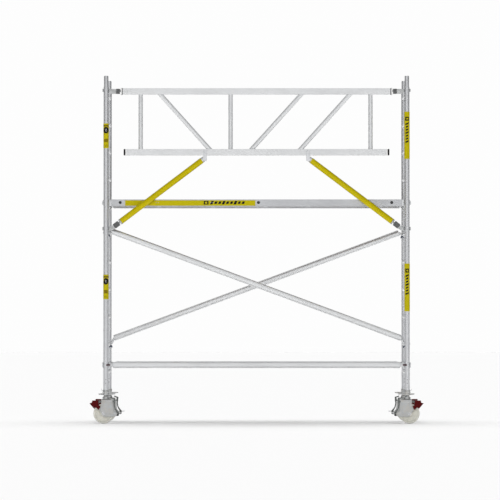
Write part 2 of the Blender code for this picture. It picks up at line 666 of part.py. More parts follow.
def build():
    for old in list(bpy.data.objects):
        bpy.data.objects.remove(old)
    bpy.context.scene.collection.children.link(bpy.data.collections.new(PARTS))
    for side in SIDES:
        ladder_frame(f"lower_frame_{side}", side, FRAME_BOTTOM, FRAME_JOINT, 0, LOWER_RUNGS)
        ladder_frame(f"upper_frame_{side}", side, FRAME_JOINT + GAP, FRAME_TOP, LOWER_RUNGS, UPPER_RUNGS)
    for corner, flip_x, flip_y in corner_names():
        castor(corner, flip_x, flip_y)
    for face in FACES:
        horizontal_brace(face)
        diagonal_brace(face)
    guardrail_frame()
    platform_chassis()
    deck()
    hatch()
    for side in SIDES:
        arm(side)
        arm_claw(side)
        arm_trigger(side)
        top_claw(side)
        top_trigger(side)
        platform_end(side)
        windlock(side)


build()
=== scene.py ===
"""Looks of the mobile scaffold tower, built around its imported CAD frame.

X runs along the bay, -Y is the guardrail side, +Z is up, and the floor is z = 0. Everything is in metres.
"""

import math

import bmesh
import bpy
from mathutils import Matrix, Vector


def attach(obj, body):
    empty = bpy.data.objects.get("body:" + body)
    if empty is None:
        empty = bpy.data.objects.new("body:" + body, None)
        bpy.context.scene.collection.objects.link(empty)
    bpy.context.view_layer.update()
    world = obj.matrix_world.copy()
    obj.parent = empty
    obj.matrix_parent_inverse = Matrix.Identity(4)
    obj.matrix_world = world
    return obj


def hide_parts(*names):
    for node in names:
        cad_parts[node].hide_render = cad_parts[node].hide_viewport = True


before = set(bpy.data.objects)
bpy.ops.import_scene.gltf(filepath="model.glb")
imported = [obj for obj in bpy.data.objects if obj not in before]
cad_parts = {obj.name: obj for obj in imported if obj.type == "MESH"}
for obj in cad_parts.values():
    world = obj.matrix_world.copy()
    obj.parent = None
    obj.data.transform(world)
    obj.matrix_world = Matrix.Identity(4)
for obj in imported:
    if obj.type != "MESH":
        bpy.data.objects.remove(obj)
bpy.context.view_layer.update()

# Layout, as in the CAD
UPRIGHT_X = 1.515
UPRIGHT_Y = 0.35
SIDES = {"left": -1, "right": 1}
FACES = {"front": -1, "rear": 1}
TUBE_R = 0.0254
TUBE_BORE = 0.0234
SPIGOT_R = 0.0222
FRAME_BOTTOM = 0.310
FRAME_JOINT = 2.270
FRAME_TOP = 3.390
SPIGOT_HEIGHT = 0.110
RUNG_R = 0.021
RUNG_FIRST = 0.515
RUNG_PITCH = 0.280
LOWER_RUNGS = 7
UPPER_RUNGS = 4
TRAIL = 0.025
WHEEL_R = 0.100
BRACE_Z = 0.588
DIAGONAL_Y = 0.285
DIAGONAL_R = 0.0295
DIAGONAL_RAISE = 0.0415
TOP_RAIL_Z = 3.343
MID_RAIL_Z = 2.730
RAIL_HALF_Z = 0.0315
RAIL_HALF_Y = 0.0225
RAIL_END = 1.3485
MID_RAIL_END = 1.338
POST_R = 0.022
POST_BORE = 0.020
POSTS_X = (-1.167, -0.261, 1.148)
INFILL = ((-0.996, -0.446), (0.478, -0.076), (0.967, 0.416))
ARM_R = 0.029
ARM_LOW = (1.3635, 2.034)
ARM_HIGH = (0.5515, 2.647)
BEAM_OUT = 0.315
BEAM_IN = 0.285
BEAM_LOW = 2.188
BEAM_HIGH = 2.256
BEAM_END = 1.467
DECK_HIGH = 2.255
HATCH_LOW_X = 0.553
HATCH_HIGH_X = 1.253
LATCH_X = 0.903
STRAP_X = 0.519

# Printed marks: the film's thickness and the slope of the slanted bars
PRINT = 0.0003
SLANT = 0.45

# Share of the room's light that reaches matt surfaces
DIFFUSE_FILL = 0.30


# Materials

class Nodes:
    """Makes and links the nodes of one tree."""

    def __init__(self, tree):
        self.tree = tree

    def feed(self, socket, value):
        if isinstance(value, bpy.types.NodeSocket):
            self.tree.links.new(value, socket)
        else:
            socket.default_value = value

    def node(self, kind, operation=None, **inputs):
        made = self.tree.nodes.new(kind)
        if operation:
            made.operation = operation
        for key, value in inputs.items():
            self.feed(made.inputs[key.replace("_", " ")], value)
        return made

    def math(self, operation, first, second=0.0):
        made = self.node("ShaderNodeMath", operation)
        self.feed(made.inputs[0], first)
        self.feed(made.inputs[1], second)
        return made.outputs[0]

    def ramped(self, value, start=0.35, end=0.65, low=0, high=1):
        return self.node("ShaderNodeMapRange", Value=value, From_Min=start, From_Max=end,
                         To_Min=low, To_Max=high).outputs[0]


class Look(Nodes):
    """A Principled material with its texture nodes."""

    def __init__(self, name, colour, metallic, roughness, specular=0.5):
        self.colour, self.roughness = colour, roughness
        self.material = bpy.data.materials.new(name)
        self.material.use_nodes = True
        super().__init__(self.material.node_tree)
        self.shader = self.tree.nodes["Principled BSDF"]
        for socket, value in (("Base Color", (*colour, 1.0)), ("Metallic", metallic),
                              ("Roughness", roughness), ("Specular IOR Level", specular)):
            self.shader.inputs[socket].default_value = value
        self.place = self.node("ShaderNodeTexCoord").outputs["Object"]
        self.height = None
        self.base = None

    def noise(self, scale, stretch=(1, 1, 1), turn=(0, 0, 0), detail=3.0, rough=0.55):
        spot = self.node("ShaderNodeMapping", Vector=self.place, Rotation=turn)
        spread = self.node("ShaderNodeMapping", Vector=spot.outputs[0], Scale=stretch)
        return self.node("ShaderNodeTexNoise", Vector=spread.outputs[0], Scale=scale, Detail=detail,
                         Roughness=rough).outputs["Fac"]

    def edge(self):
        return self.node("ShaderNodeNewGeometry").outputs["Pointiness"]

    def mix(self, factor, first, second):
        made = self.node("ShaderNodeMix")
        made.data_type = "RGBA"
        self.feed(made.inputs["Factor"], factor)
        for socket, value in ((made.inputs[6], first), (made.inputs[7], second)):
            self.feed(socket, value if isinstance(value, bpy.types.NodeSocket) else (*value, 1.0))
        return made.outputs[2]

    def tint(self, value, second, amount=1.0):
        """Blends a second colour in where the value is high."""
        factor = value if amount == 1.0 else self.math("MULTIPLY", value, amount)
        self.base = self.mix(factor, self.base or self.colour, second)
        self.feed(self.shader.inputs["Base Color"], self.base)
        return self

    def mottled(self, factor, amount, scale, *noise, **detail):
        """Tints noise with a shade of the main colour, and gives the noise back."""
        cloud = self.noise(scale, *noise, **detail)
        self.tint(self.ramped(cloud), shade(self.colour, factor), amount)
        return cloud

    def gloss(self, value, spread):
        """Varies the roughness about its mean with the value."""
        self.feed(self.shader.inputs["Roughness"],
                  self.ramped(value, low=self.roughness - spread, high=self.roughness + spread))
        return self

    def relief(self, value, depth):
        """Adds bump of that depth in metres."""
        part = self.math("MULTIPLY", value, depth)
        self.height = part if self.height is None else self.math("ADD", self.height, part)
        return self

    def made(self):
        bump = self.node("ShaderNodeBump", Height=self.height, Distance=1.0, Strength=1.0)
        self.feed(self.shader.inputs["Normal"], bump.outputs["Normal"])
        return self.material


def shade(colour, factor):
    return tuple(min(1.0, c * factor) for c in colour)


def drawn_aluminium(name, along, colour=(0.80, 0.81, 0.82), roughness=0.34, depth=1.0):
    """Mill-finish extrusion: fine die lines along the tube, handling marks and a light oxide bloom."""
    turn = Vector(along).normalized().rotation_difference(Vector((0, 0, 1))).to_euler()
    look = Look(name, colour, 0.88, roughness)
    lines = look.mottled(0.88, 0.6, 60, (14, 14, 0.05), turn, 4)
    bloom = look.noise(7, (1, 1, 0.5), turn, 5, 0.62)
    look.tint(look.ramped(bloom, 0.45, 0.70), shade(colour, 0.86), 0.45)
    scuffs = look.noise(190, (1, 1, 0.25), turn, 2)
    look.tint(look.ramped(scuffs, 0.66, 0.74), shade(colour, 0.76), 0.30)
    dullness = look.math("ADD", look.math("MULTIPLY", bloom, 0.6), look.math("MULTIPLY", lines, 0.4))
    look.gloss(dullness, 0.07).relief(lines, 0.00004 * depth).relief(scuffs, 0.00002 * depth)
    return look.made()


def cast_metal(name, colour, roughness=0.48, metallic=0.8):
    """Die-cast fitting: a pebbled skin with duller hollows and rubbed edges."""
    look = Look(name, colour, metallic, roughness)
    grain = look.noise(850, detail=2)
    cloud = look.mottled(0.74, 0.6, 28, detail=5)
    look.tint(look.ramped(look.edge(), 0.52, 0.60), shade(colour, 1.35), 0.5)
    look.gloss(cloud, 0.09).relief(grain, 0.00012)
    return look.made()


def zinc(name, colour=(0.55, 0.555, 0.55), roughness=0.36):
    """Bright zinc plate: spangle with faint straw and blue patches."""
    look = Look(name, colour, 0.85, roughness)
    spot = look.node("ShaderNodeTexVoronoi", Vector=look.place, Scale=110.0)
    cell = look.node("ShaderNodeSeparateColor", Color=spot.outputs["Color"]).outputs[0]
    look.tint(cell, shade(colour, 0.86), 0.45)
    cloud = look.noise(22, detail=4)
    look.tint(look.ramped(cloud, 0.48, 0.68), (0.66, 0.60, 0.50), 0.28)
    look.tint(look.ramped(look.noise(35, detail=3), 0.52, 0.70), (0.50, 0.60, 0.70), 0.25)
    look.gloss(cloud, 0.08).relief(look.noise(600, detail=2), 0.00005)
    return look.made()


def plastic(name, colour, roughness, worn, grain=0.00006):
    """Moulded plastic: a spark-eroded grain, a slight flow mottle and paler worn edges."""
    look = Look(name, colour, 0.0, roughness, 0.15)
    mottle = look.mottled(0.80, 0.5, 40, detail=4)
    look.tint(look.ramped(look.edge(), 0.53, 0.62), worn, 0.45)
    look.gloss(mottle, 0.07).relief(look.noise(1400, detail=1), grain)
    return look.made()


def coated(name, colour, roughness=0.36):
    """Powder coat: orange peel, and scuffs that dull it."""
    look = Look(name, colour, 0.0, roughness, 0.12)
    mottle = look.mottled(0.90, 0.6, 14, detail=4)
    look.tint(look.ramped(look.noise(150, detail=3), 0.70, 0.74), (0.30, 0.27, 0.06), 0.7)
    look.gloss(mottle, 0.06).relief(look.noise(420, detail=1), 0.00009)
    return look.made()


def film(name, colour, roughness=0.34):
    """Printed vinyl film: slight ink mottle and a faint pebble."""
    look = Look(name, colour, 0.0, roughness, 0.12)
    mottle = look.mottled(0.88, 0.5, 60, detail=3)
    look.gloss(mottle, 0.05).relief(look.noise(700, detail=1), 0.00003)
    return look.made()


def phenolic_ply(name):
    """Film-faced birch plywood: a wire-mesh grip on the faces and thin plies at the cut edges."""
    wire = ply = 0.0028
    look = Look(name, (0.100, 0.068, 0.050), 0.0, 0.52)
    across, along, up = look.node("ShaderNodeSeparateXYZ", Vector=look.place).outputs
    rows, columns = (look.math("SINE", look.math("MULTIPLY", way, math.tau / wire)) for way in (across, along))
    mesh = look.math("MAXIMUM", rows, columns)
    stain = look.noise(9, detail=6, rough=0.65)
    look.tint(look.ramped(stain), (0.185, 0.105, 0.066), 0.7)
    look.tint(look.ramped(look.noise(70, detail=4), 0.60, 0.75), (0.26, 0.20, 0.16), 0.35)
    normal = look.node("ShaderNodeNewGeometry").outputs["Normal"]
    facing_up = look.node("ShaderNodeSeparateXYZ", Vector=normal).outputs[2]
    cut_edge = look.math("LESS_THAN", look.math("ABSOLUTE", facing_up), 0.5)
    plies = look.math("SINE", look.math("MULTIPLY", up, math.tau / ply))
    grain = look.noise(300, (1, 1, 12), detail=3)
    wood = look.mix(look.ramped(plies, -0.4, 0.4), (0.42, 0.29, 0.17), (0.26, 0.16, 0.09))
    wood = look.mix(look.ramped(grain, high=0.5), wood, (0.20, 0.12, 0.07))
    look.tint(cut_edge, wood)
    look.gloss(stain, 0.10).relief(mesh, 0.00018).relief(stain, 0.00005)
    return look.made()


def nylon_wheel(name):
    """Cream cast nylon: a fine grain, scuffs and a little road dirt on the tread."""
    look = Look(name, (0.78, 0.77, 0.70), 0.0, 0.42)
    look.shader.inputs["Subsurface Weight"].default_value = 0.08
    look.shader.inputs["Subsurface Radius"].default_value = (0.006, 0.005, 0.004)
    cloud = look.mottled(0.84, 0.5, 30, detail=5)
    look.tint(look.ramped(look.noise(120, detail=4), 0.60, 0.72), (0.24, 0.22, 0.19), 0.35)
    look.gloss(cloud, 0.08).relief(look.noise(500, detail=2), 0.00010)
    return look.made()


DIAGONAL_RISE = 4 * RUNG_PITCH
ALU_Z = drawn_aluminium("drawn_aluminium_z", (0, 0, 1), (0.74, 0.75, 0.77), 0.30)
ALU_Z.node_tree.nodes["Principled BSDF"].inputs["Specular Tint"].default_value = (0.35, 0.35, 0.36, 1)
ALU_X = drawn_aluminium("drawn_aluminium_x", (1, 0, 0))
POST_TONE = (0.86, 0.87, 0.88)
POST = drawn_aluminium("drawn_aluminium_post", (0, 0, 1), POST_TONE, 0.50)
ALU_Y = drawn_aluminium("drawn_aluminium_y", (0, 1, 0))
ALU_FALL = drawn_aluminium("drawn_aluminium_falling", (2 * UPRIGHT_X, 0, -DIAGONAL_RISE),
                            (0.84, 0.85, 0.86), 0.42, 0.25)
ALU_RISE = drawn_aluminium("drawn_aluminium_rising", (2 * UPRIGHT_X, 0, DIAGONAL_RISE),
                            (0.84, 0.85, 0.86), 0.42, 0.25)
BEAM = drawn_aluminium("beam_aluminium", (1, 0, 0), (0.62, 0.63, 0.65), 0.42)
WELD = cast_metal("weld_bead", (0.66, 0.67, 0.68), 0.42)
CAST = cast_metal("die_cast", (0.50, 0.51, 0.51), 0.46)
CAST_LIGHT = cast_metal("die_cast_light", (0.70, 0.71, 0.72), 0.42)
ZINC = zinc("zinc_plate")
STEEL = zinc("bright_fastener", (0.66, 0.67, 0.68), 0.28)
THREAD = zinc("rolled_thread", (0.58, 0.60, 0.62), 0.30)
CREAM = nylon_wheel("cream_nylon_wheel")
RED = plastic("red_plastic_moulding", (0.085, 0.0004, 0.0012), 0.46, (0.15, 0.004, 0.005))
# Dark red for the brake pedal's ribbed pad. It is painted shade, standing in for the shadow on the pedal's
# down-facing outer face.
RED_PAD_SHADE = plastic("red_pad_painted_shade", (0.028, 0.004, 0.006), 0.55, (0.10, 0.02, 0.02))
MAROON = plastic("maroon_pawl", (0.050, 0.010, 0.016), 0.42, (0.20, 0.04, 0.05))
NAVY = plastic("navy_pawl", (0.018, 0.028, 0.060), 0.42, (0.08, 0.12, 0.22))
BLACK = plastic("black_plastic", (0.012, 0.012, 0.013), 0.50, (0.06, 0.06, 0.06))
GREY = plastic("grey_plastic", (0.115, 0.120, 0.122), 0.50, (0.22, 0.22, 0.22))
COLLAR = plastic("pale_collar", (0.90, 0.90, 0.89), 0.50, (0.93, 0.93, 0.92))
LEVER = cast_metal("blackened_lever", (0.16, 0.17, 0.165), 0.44, 0.7)
YELLOW = coated("yellow_powder_coat", (0.585, 0.485, 0.002))
YELLOW_FILM = film("yellow_film", (0.56, 0.48, 0.004))
OCHRE_FILM = film("ochre_print", (0.22, 0.16, 0.006))
BLACK_FILM = film("black_print", (0.010, 0.010, 0.010), 0.40)
WHITE_FILM = film("white_print", (0.78, 0.78, 0.76))
PLY = phenolic_ply("film_faced_ply")


# Shapes

def mm(*numbers):
    """Pairs in metres from a row of millimetres."""
    return [(first / 1000, second / 1000) for first, second in zip(numbers[::2], numbers[1::2])]


def circle(steps):
    """The cosine and sine of each of that many equal steps round a turn."""
    return [(math.cos(math.tau * i / steps), math.sin(math.tau * i / steps)) for i in range(steps)]


def rectangle(left, low, right, high):
    return (left, low), (right, low), (right, high), (left, high)


def turned_out(part):
    bmesh.ops.recalc_face_normals(part, faces=part.faces)
    return part


def skin(part, rings, ends=False):
    """Quads between each ring of points and the next, with flat ends if asked."""
    if ends:
        part.faces.new(rings[0])
        part.faces.new(rings[-1])
    for first, second in zip(rings, rings[1:]):
        for k in range(len(first)):
            part.faces.new((first[k - 1], first[k], second[k], second[k - 1]))
    return turned_out(part)


def spun(part, rings, segments):
    """Faces between each round of points and the next, where a round may be a single point."""
    for first, second in zip(rings, rings[1:]):
        for i in range(segments):
            j = (i + 1) % segments
            corners = dict.fromkeys((first[i % len(first)], first[j % len(first)],
                                     second[j % len(second)], second[i % len(second)]))
            if len(corners) > 2:
                part.faces.new(list(corners))
    return part


def placed(part, matrix):
    bmesh.ops.transform(part, matrix=matrix, verts=part.verts)
    if matrix.determinant() < 0:
        bmesh.ops.reverse_faces(part, faces=part.faces)
    return part


def softened(part, width, steps=2):
    if width > 0:
        sharp = [e for e in part.edges
                 if len(e.link_faces) == 2 and e.calc_face_angle(0) > math.radians(28)]
        bmesh.ops.bevel(part, geom=sharp, offset=width, segments=steps, profile=0.5, affect="EDGES",
                        clamp_overlap=True)
    return part


def box(low, high, bevel=0.0008, steps=2):
    low, high = (Vector(map(min, low, high)), Vector(map(max, low, high)))
    part = bmesh.new()
    bmesh.ops.create_cube(part, size=1, matrix=Matrix.Translation((low + high) / 2)
                          @ Matrix.Diagonal((*(high - low), 1)))
    return softened(part, bevel, steps)


def rounded(outline, radius, steps=4):
    """The outline with each corner turned into a small curve."""
    points = [Vector(p) for p in outline]
    made = []
    for i, corner in enumerate(points):
        before, after = points[i - 1] - corner, points[(i + 1) % len(points)] - corner
        start = corner + before.normalized() * min(radius, before.length * 0.45)
        end = corner + after.normalized() * min(radius, after.length * 0.45)
        for k in range(steps + 1):
            t = k / steps
            made.append(tuple(start * (1 - t) ** 2 + corner * 2 * t * (1 - t) + end * t ** 2))
    return made


def prism(outline, low, high, flat=False, bevel=0.0006, steps=1):
    """A flat outline between two levels: x-z points spread along Y, or x-y points along Z if flat."""
    part = bmesh.new()
    rings = [[part.verts.new((a, b, level) if flat else (a, level, b)) for a, b in outline]
             for level in (low, high)]
    return softened(skin(part, rings, ends=True), bevel, steps)


def lathe(profile, segments=48, closed=False):
    """Turns (radius, height) points about Z; a closed profile leaves a bore."""
    part = bmesh.new()
    rings = [[part.verts.new((radius * c, radius * s, height)) for c, s in circle(segments if radius else 1)]
             for radius, height in profile]
    return turned_out(spun(part, rings + (rings[:1] if closed else []), segments))


def aim(start, end):
    start, end = Vector(start), Vector(end)
    return Matrix.Translation(start) @ (end - start).to_track_quat("Z", "Y").to_matrix().to_4x4()


def tube(start, end, radius, bore=None, segments=48, chamfer=0.0006):
    length = (Vector(end) - Vector(start)).length
    outer = [(radius - chamfer, 0), (radius, chamfer), (radius, length - chamfer), (radius - chamfer, length)]
    if bore:
        part = lathe(outer + [(bore, length), (bore, 0)], segments, closed=True)
    else:
        part = lathe([(0, 0)] + outer + [(0, length)], segments)
    return placed(part, aim(start, end))


def fluted(start, end, radius, flutes=20, depth=0.0005):
    """A rung: a tube with a ribbed grip."""
    part = bmesh.new()
    steps = flutes * 4
    reach = [radius - depth * (0.5 + 0.5 * math.cos(flutes * math.tau * i / steps)) for i in range(steps)]
    rings = [[part.verts.new((r * c, r * s, level)) for r, (c, s) in zip(reach, circle(steps))]
             for level in (0, (Vector(end) - Vector(start)).length)]
    return placed(skin(part, rings), aim(start, end))


def sweep(points, radius, segments=8, closed=False, ripple=0.0, waves=0):
    """A round wire or bead along points."""
    points = [Vector(p) for p in points]
    part = bmesh.new()
    count = len(points)
    rings, side = [], None
    for i, point in enumerate(points):
        before = points[i - 1] if closed or i else points[i]
        after = points[(i + 1) % count] if closed or i < count - 1 else points[i]
        along = (after - before).normalized()
        if side is None:
            side = along.orthogonal().normalized()
        side = (side - along * side.dot(along)).normalized()
        up = along.cross(side)
        r = radius * (1 + ripple * math.sin(math.tau * waves * i / count))
        rings.append([part.verts.new(point + (side * c + up * s) * r) for c, s in circle(segments)])
    return skin(part, rings + (rings[:1] if closed else []), ends=not closed)


def rib(middle, half, radius):
    """A raised grip line, half on each side of its middle."""
    middle, half = Vector(middle), Vector(half)
    return sweep([middle - half, middle + half], radius, 6)


def facing(origin, up, side):
    """Matrix with its Z along up and its X near side."""
    up = Vector(up).normalized()
    across = up.cross(Vector(side)).normalized()
    matrix = Matrix((across.cross(up), across, up)).transposed().to_4x4()
    matrix.translation = Vector(origin)
    return matrix


def weld(origin, up, side, small, big=None, bead=0.0026):
    """A rippled bead where a small tube leaves a big one whose axis runs along side, or a flat face."""
    points = [(small * c, small * s, math.sqrt(big * big - (small * s) ** 2) if big else 0.0)
              for c, s in circle(44)]
    return placed(sweep(points, bead, 6, True, 0.16, 14), facing(origin, up, side))


def rivet(origin, out, radius=0.004, height=0.0022):
    """A domed blind rivet with its broken stem."""
    dome = lathe([(0, height * 0.72), (radius * 0.28, height * 0.72), (radius * 0.30, height),
                  (radius * 0.75, height * 0.62), (radius, 0), (radius, -0.001), (0, -0.001)], 16)
    return placed(dome, aim(origin, Vector(origin) + Vector(out)))


def hexagon(origin, out, across, height, chamfer=0.0008):
    radius = across / math.sqrt(3)
    part = lathe([(0, 0), (radius, 0), (radius, height - chamfer), (radius - chamfer * 1.6, height),
                  (0, height)], 6)
    return placed(part, aim(origin, Vector(origin) + Vector(out)))


def panel(left, right, low, high, thickness=0.0004, cuts=1, level=0.0):
    """A thin sheet in x-z, its face towards -Y, with cuts across so that it can wrap round a tube."""
    part = bmesh.new()
    section = ((-level, low), (-level - thickness, low), (-level - thickness, high), (-level, high))
    columns = [[part.verts.new((left + (right - left) * i / cuts, y, z)) for y, z in section]
               for i in range(cuts + 1)]
    return skin(part, columns, ends=True)


def dot(x, z, radius, thickness=PRINT, level=0.0, segments=32, rings=4):
    """A thin disc in x-z, its face towards -Y."""
    part = bmesh.new()
    reach = [radius * k / rings for k in range(rings + 1)]
    loops = [[part.verts.new((x + r * c, -level - thickness, z + r * s))
              for c, s in circle(segments if r else 1)] for r in reach]
    turned_out(spun(part, loops, segments))
    if sum(f.normal.y for f in part.faces) > 0:
        bmesh.ops.reverse_faces(part, faces=part.faces)
    return part


def wrapped(part, x, y, radius):
    """Wraps a sheet made by panel or dot round the front of an upright tube."""
    for vertex in part.verts:
        angle, out = vertex.co.x / radius, radius - vertex.co.y
        vertex.co = (x + out * math.sin(angle), y - out * math.cos(angle), vertex.co.z)
    return part


def from_cad(node, bevel, steps):
    """A CAD solid's mesh with its edges eased."""
    part = bmesh.new()
    part.from_mesh(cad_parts[node].data)
    bmesh.ops.remove_doubles(part, verts=part.verts, dist=0.00002)
    bmesh.ops.dissolve_limit(part, angle_limit=math.radians(1), verts=part.verts, edges=part.edges)
    return softened(part, bevel, steps)


def in_scene(name, data):
    made = bpy.data.objects.new(name, data)
    bpy.context.scene.collection.objects.link(made)
    return made


class Piece:
    """One visible object, gathered from parts that each have a material."""

    def __init__(self, name):
        self.name, self.shape, self.looks = name, bmesh.new(), []

    def add(self, part, look, place=None):
        if place is not None:
            placed(part, place)
        if look not in self.looks:
            self.looks.append(look)
        for face in part.faces:
            face.material_index = self.looks.index(look)
            face.smooth = True
        mesh = bpy.data.meshes.new("part")
        part.to_mesh(mesh)
        part.free()
        self.shape.from_mesh(mesh)
        bpy.data.meshes.remove(mesh)
        return self

    def done(self, body, slot, *nodes, place=None, sharp=34):
        mesh = bpy.data.meshes.new(self.name)
        self.shape.to_mesh(mesh)
        self.shape.free()
        for look in self.looks:
            mesh.materials.append(look)
        if place is not None:
            mesh.transform(place)
            if place.determinant() < 0:
                mesh.flip_normals()
        mesh.set_sharp_from_angle(angle=math.radians(sharp))
        made = in_scene(self.name, mesh)
        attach(made, body)
        if nodes:
            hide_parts(*nodes)


def moulded(node, suffix, look, bevel=0.0010, steps=2):
    """A piece that starts from a CAD solid with its edges eased."""
    return Piece(f"{node}_{suffix}").add(from_cad(node, bevel, steps), look)


def corners():
    for side, flip_x in SIDES.items():
        for face, flip_y in FACES.items():
            place = Matrix.Translation((flip_x * UPRIGHT_X, flip_y * UPRIGHT_Y, 0))
            yield f"{face}_{side}", place @ Matrix.Diagonal((flip_x, -flip_y, 1, 1))


def rung_height(index):
    return RUNG_FIRST + RUNG_PITCH * index


# Ladder frames

def spring_clip(x, y, z, out):
    """The loop and pin of a bent wire clip, whose pin goes through the foot of an upright."""
    reach = TUBE_R + 0.0035
    loop = []
    for i in range(25):
        angle = math.radians(-150 + 300 * i / 24)
        loop.append((x + out * reach * math.cos(angle), y + reach * math.sin(angle),
                     z + 0.004 * math.cos(angle)))
    ear = x + out * (TUBE_R + 0.018)
    pin = [(x + out * 0.012, y, z), (x + out * (TUBE_R + 0.012), y, z), (ear, y, z + 0.006),
           (ear, y - 0.010, z + 0.016)]
    return sweep(loop, 0.0016, 8), sweep(pin, 0.0022, 8)


def ladder_frame(level, side, bottom, top, first_rung, rungs):
    name = f"{level}_frame_{side}"
    flip = SIDES[side]
    x = flip * UPRIGHT_X
    piece = Piece(f"{name}_tubes")
    spigot_top, hole_z = top + SPIGOT_HEIGHT, top + SPIGOT_HEIGHT - 0.045
    wall = [(TUBE_R - 0.0006, bottom), (TUBE_R, bottom + 0.0006), (TUBE_R, top - 0.0012),
            (TUBE_R - 0.0012, top), (TUBE_BORE, top), (TUBE_BORE, bottom)]
    spigot = [(SPIGOT_R, top - 0.06), (SPIGOT_R, spigot_top - 0.009), (SPIGOT_R - 0.0016, spigot_top),
              (SPIGOT_R - 0.0032, spigot_top), (SPIGOT_R - 0.0032, top - 0.06)]
    collar = [(SPIGOT_R, top + 0.004), (SPIGOT_R + 0.0008, top + 0.0025), (TUBE_BORE + 0.0004, top - 0.0004),
              (SPIGOT_R, top - 0.002)]
    foot = [(TUBE_R, bottom + 0.001), (TUBE_R + 0.0009, bottom + 0.003), (TUBE_R + 0.0009, bottom + 0.010),
            (TUBE_R, bottom + 0.012)]
    for y in (-UPRIGHT_Y, UPRIGHT_Y):
        for profile, segments, look in ((wall, 56, ALU_Z), (spigot, 48, ALU_Z), (collar, 48, WELD)):
            piece.add(lathe(profile, segments, True), look, Matrix.Translation((x, y, 0)))
        for turn in (0, math.pi):
            out = Vector((math.cos(turn), math.sin(turn), 0))
            spot = Vector((x, y, top - 0.030)) + out * (TUBE_R - 0.0004)
            piece.add(rivet(spot, out, 0.0045), STEEL)
        lock = lathe(mm(0, 0, 4.2, 0, 4.2, 2.8, 2.8, 4.2, 0, 4.4), 16)
        piece.add(lock, STEEL, aim((x, y - SPIGOT_R + 0.0006, hole_z), (x, y - 1, hole_z)))
    half = UPRIGHT_Y - math.sqrt(TUBE_R ** 2 - RUNG_R ** 2)
    for i in range(rungs):
        z = rung_height(first_rung + i)
        piece.add(fluted((x, -half, z), (x, half, z), RUNG_R), ALU_Y)
        for toward in (1, -1):
            bead = weld((x, -toward * UPRIGHT_Y, z), (0, toward, 0), (0, 0, 1), RUNG_R + 0.0004, TUBE_R, 0.0027)
            piece.add(bead, WELD)
    for y in (-UPRIGHT_Y, UPRIGHT_Y) if level == "lower" else ():
        for hole_z in (0.405, 0.440):
            place = aim((x, y - TUBE_R + 0.0002, hole_z), (x, y - TUBE_R - 0.9998, hole_z))
            ring = lathe(mm(3, 0, 4.6, 0, 4.6, 0.6, 3.8, 1, 3, 0.6), 20, True)
            piece.add(ring, STEEL, place)
            piece.add(lathe(mm(0, 0, 3.1, 0, 3.1, 0.3, 0, 0.3), 16), BLACK, place)
        loop, pin = spring_clip(x, y, 0.331, flip)
        piece.add(loop, STEEL).add(pin, STEEL)
        piece.add(lathe(foot, 48, True), ALU_Z, Matrix.Translation((x, y, 0)))
    piece.done("tower", "aluminium", name)


def upright_label(name, side, low, high, tall):
    """Yellow film wrapped round the front of an upright, with generic marks that are no lettering."""
    x, y = SIDES[side] * UPRIGHT_X, -UPRIGHT_Y
    half = TUBE_R * math.radians(112)
    piece = Piece(name)
    piece.add(wrapped(panel(-half, half, low, high, 0.0022, 40), x, y, TUBE_R + 0.0002), YELLOW_FILM)

    def mark(shape, look):
        piece.add(wrapped(shape, x, y, TUBE_R + 0.0021), look)

    def bar(half_width, foot, head, look, cuts=12, level=PRINT):
        mark(panel(-half_width, half_width, foot, head, PRINT, cuts, level), look)

    if tall:
        top = high - 0.085
        bar(0.019, top - 0.006, top + 0.034, BLACK_FILM)
        mark(dot(0.002, top + 0.014, 0.009, level=2 * PRINT), YELLOW_FILM)
        for i in range(7):
            z, width = top - 0.036 - i * 0.030, 0.012 if i % 3 else 0.016
            slanted = panel(-width, width, z - 0.0085, z + 0.0085, PRINT, 12, PRINT)
            for vertex in slanted.verts:
                vertex.co.z += vertex.co.x * SLANT
            mark(slanted, BLACK_FILM)
    else:
        disc_z, block_z = high - 0.068, high - 0.172
        bar(half * 0.96, high - 0.032, high - 0.014, OCHRE_FILM, 30)
        mark(dot(0, disc_z, 0.0325, level=PRINT), BLACK_FILM)
        bar(0.0025, disc_z - 0.004, disc_z + 0.013, WHITE_FILM, 4, 2 * PRINT)
        mark(dot(0, disc_z - 0.011, 0.0028, level=2 * PRINT), WHITE_FILM)
        bar(0.020, block_z - 0.017, block_z + 0.017, OCHRE_FILM)
        for i in range(4):
            z = low + 0.014 + i * 0.006
            bar(0.017, z, z + 0.0018, OCHRE_FILM)
    piece.done("tower", "aluminium")


for side in SIDES:
    ladder_frame("lower", side, FRAME_BOTTOM, FRAME_JOINT, 0, LOWER_RUNGS)
    ladder_frame("upper", side, FRAME_JOINT + 0.0003, FRAME_TOP, LOWER_RUNGS, UPPER_RUNGS)
upright_label("label_upper_left", "left", 2.770, 3.019, False)
upright_label("label_lower_left", "left", 1.250, 1.497, False)
upright_label("label_upper_right", "right", 2.662, 3.137, True)
upright_label("label_lower_right", "right", 1.128, 1.608, True)


# Castors and screw legs, drawn for the front right corner with u outwards, then mirrored

def screw_thread(low, high, crest, root, pitch=0.010, steps=20):
    """A trapezoidal rolled thread."""
    part = bmesh.new()
    turns = int((high - low) / pitch) - 1
    rows = ((root, 0.0), (root, 0.25), (crest, 0.45), (crest, 0.80))
    grid = []
    for i in range(turns * steps + 1):
        angle = math.tau * i / steps
        grid.append([part.verts.new((radius * math.cos(angle), radius * math.sin(angle),
                                     low + pitch * (i / steps + share))) for radius, share in rows])
    for i in range(turns * steps):
        for k in range(3):
            part.faces.new((grid[i][k], grid[i + 1][k], grid[i + 1][k + 1], grid[i][k + 1]))
        if i + 1 + steps <= turns * steps:
            part.faces.new((grid[i][3], grid[i + 1][3], grid[i + 1 + steps][0], grid[i + steps][0]))
    return turned_out(part)


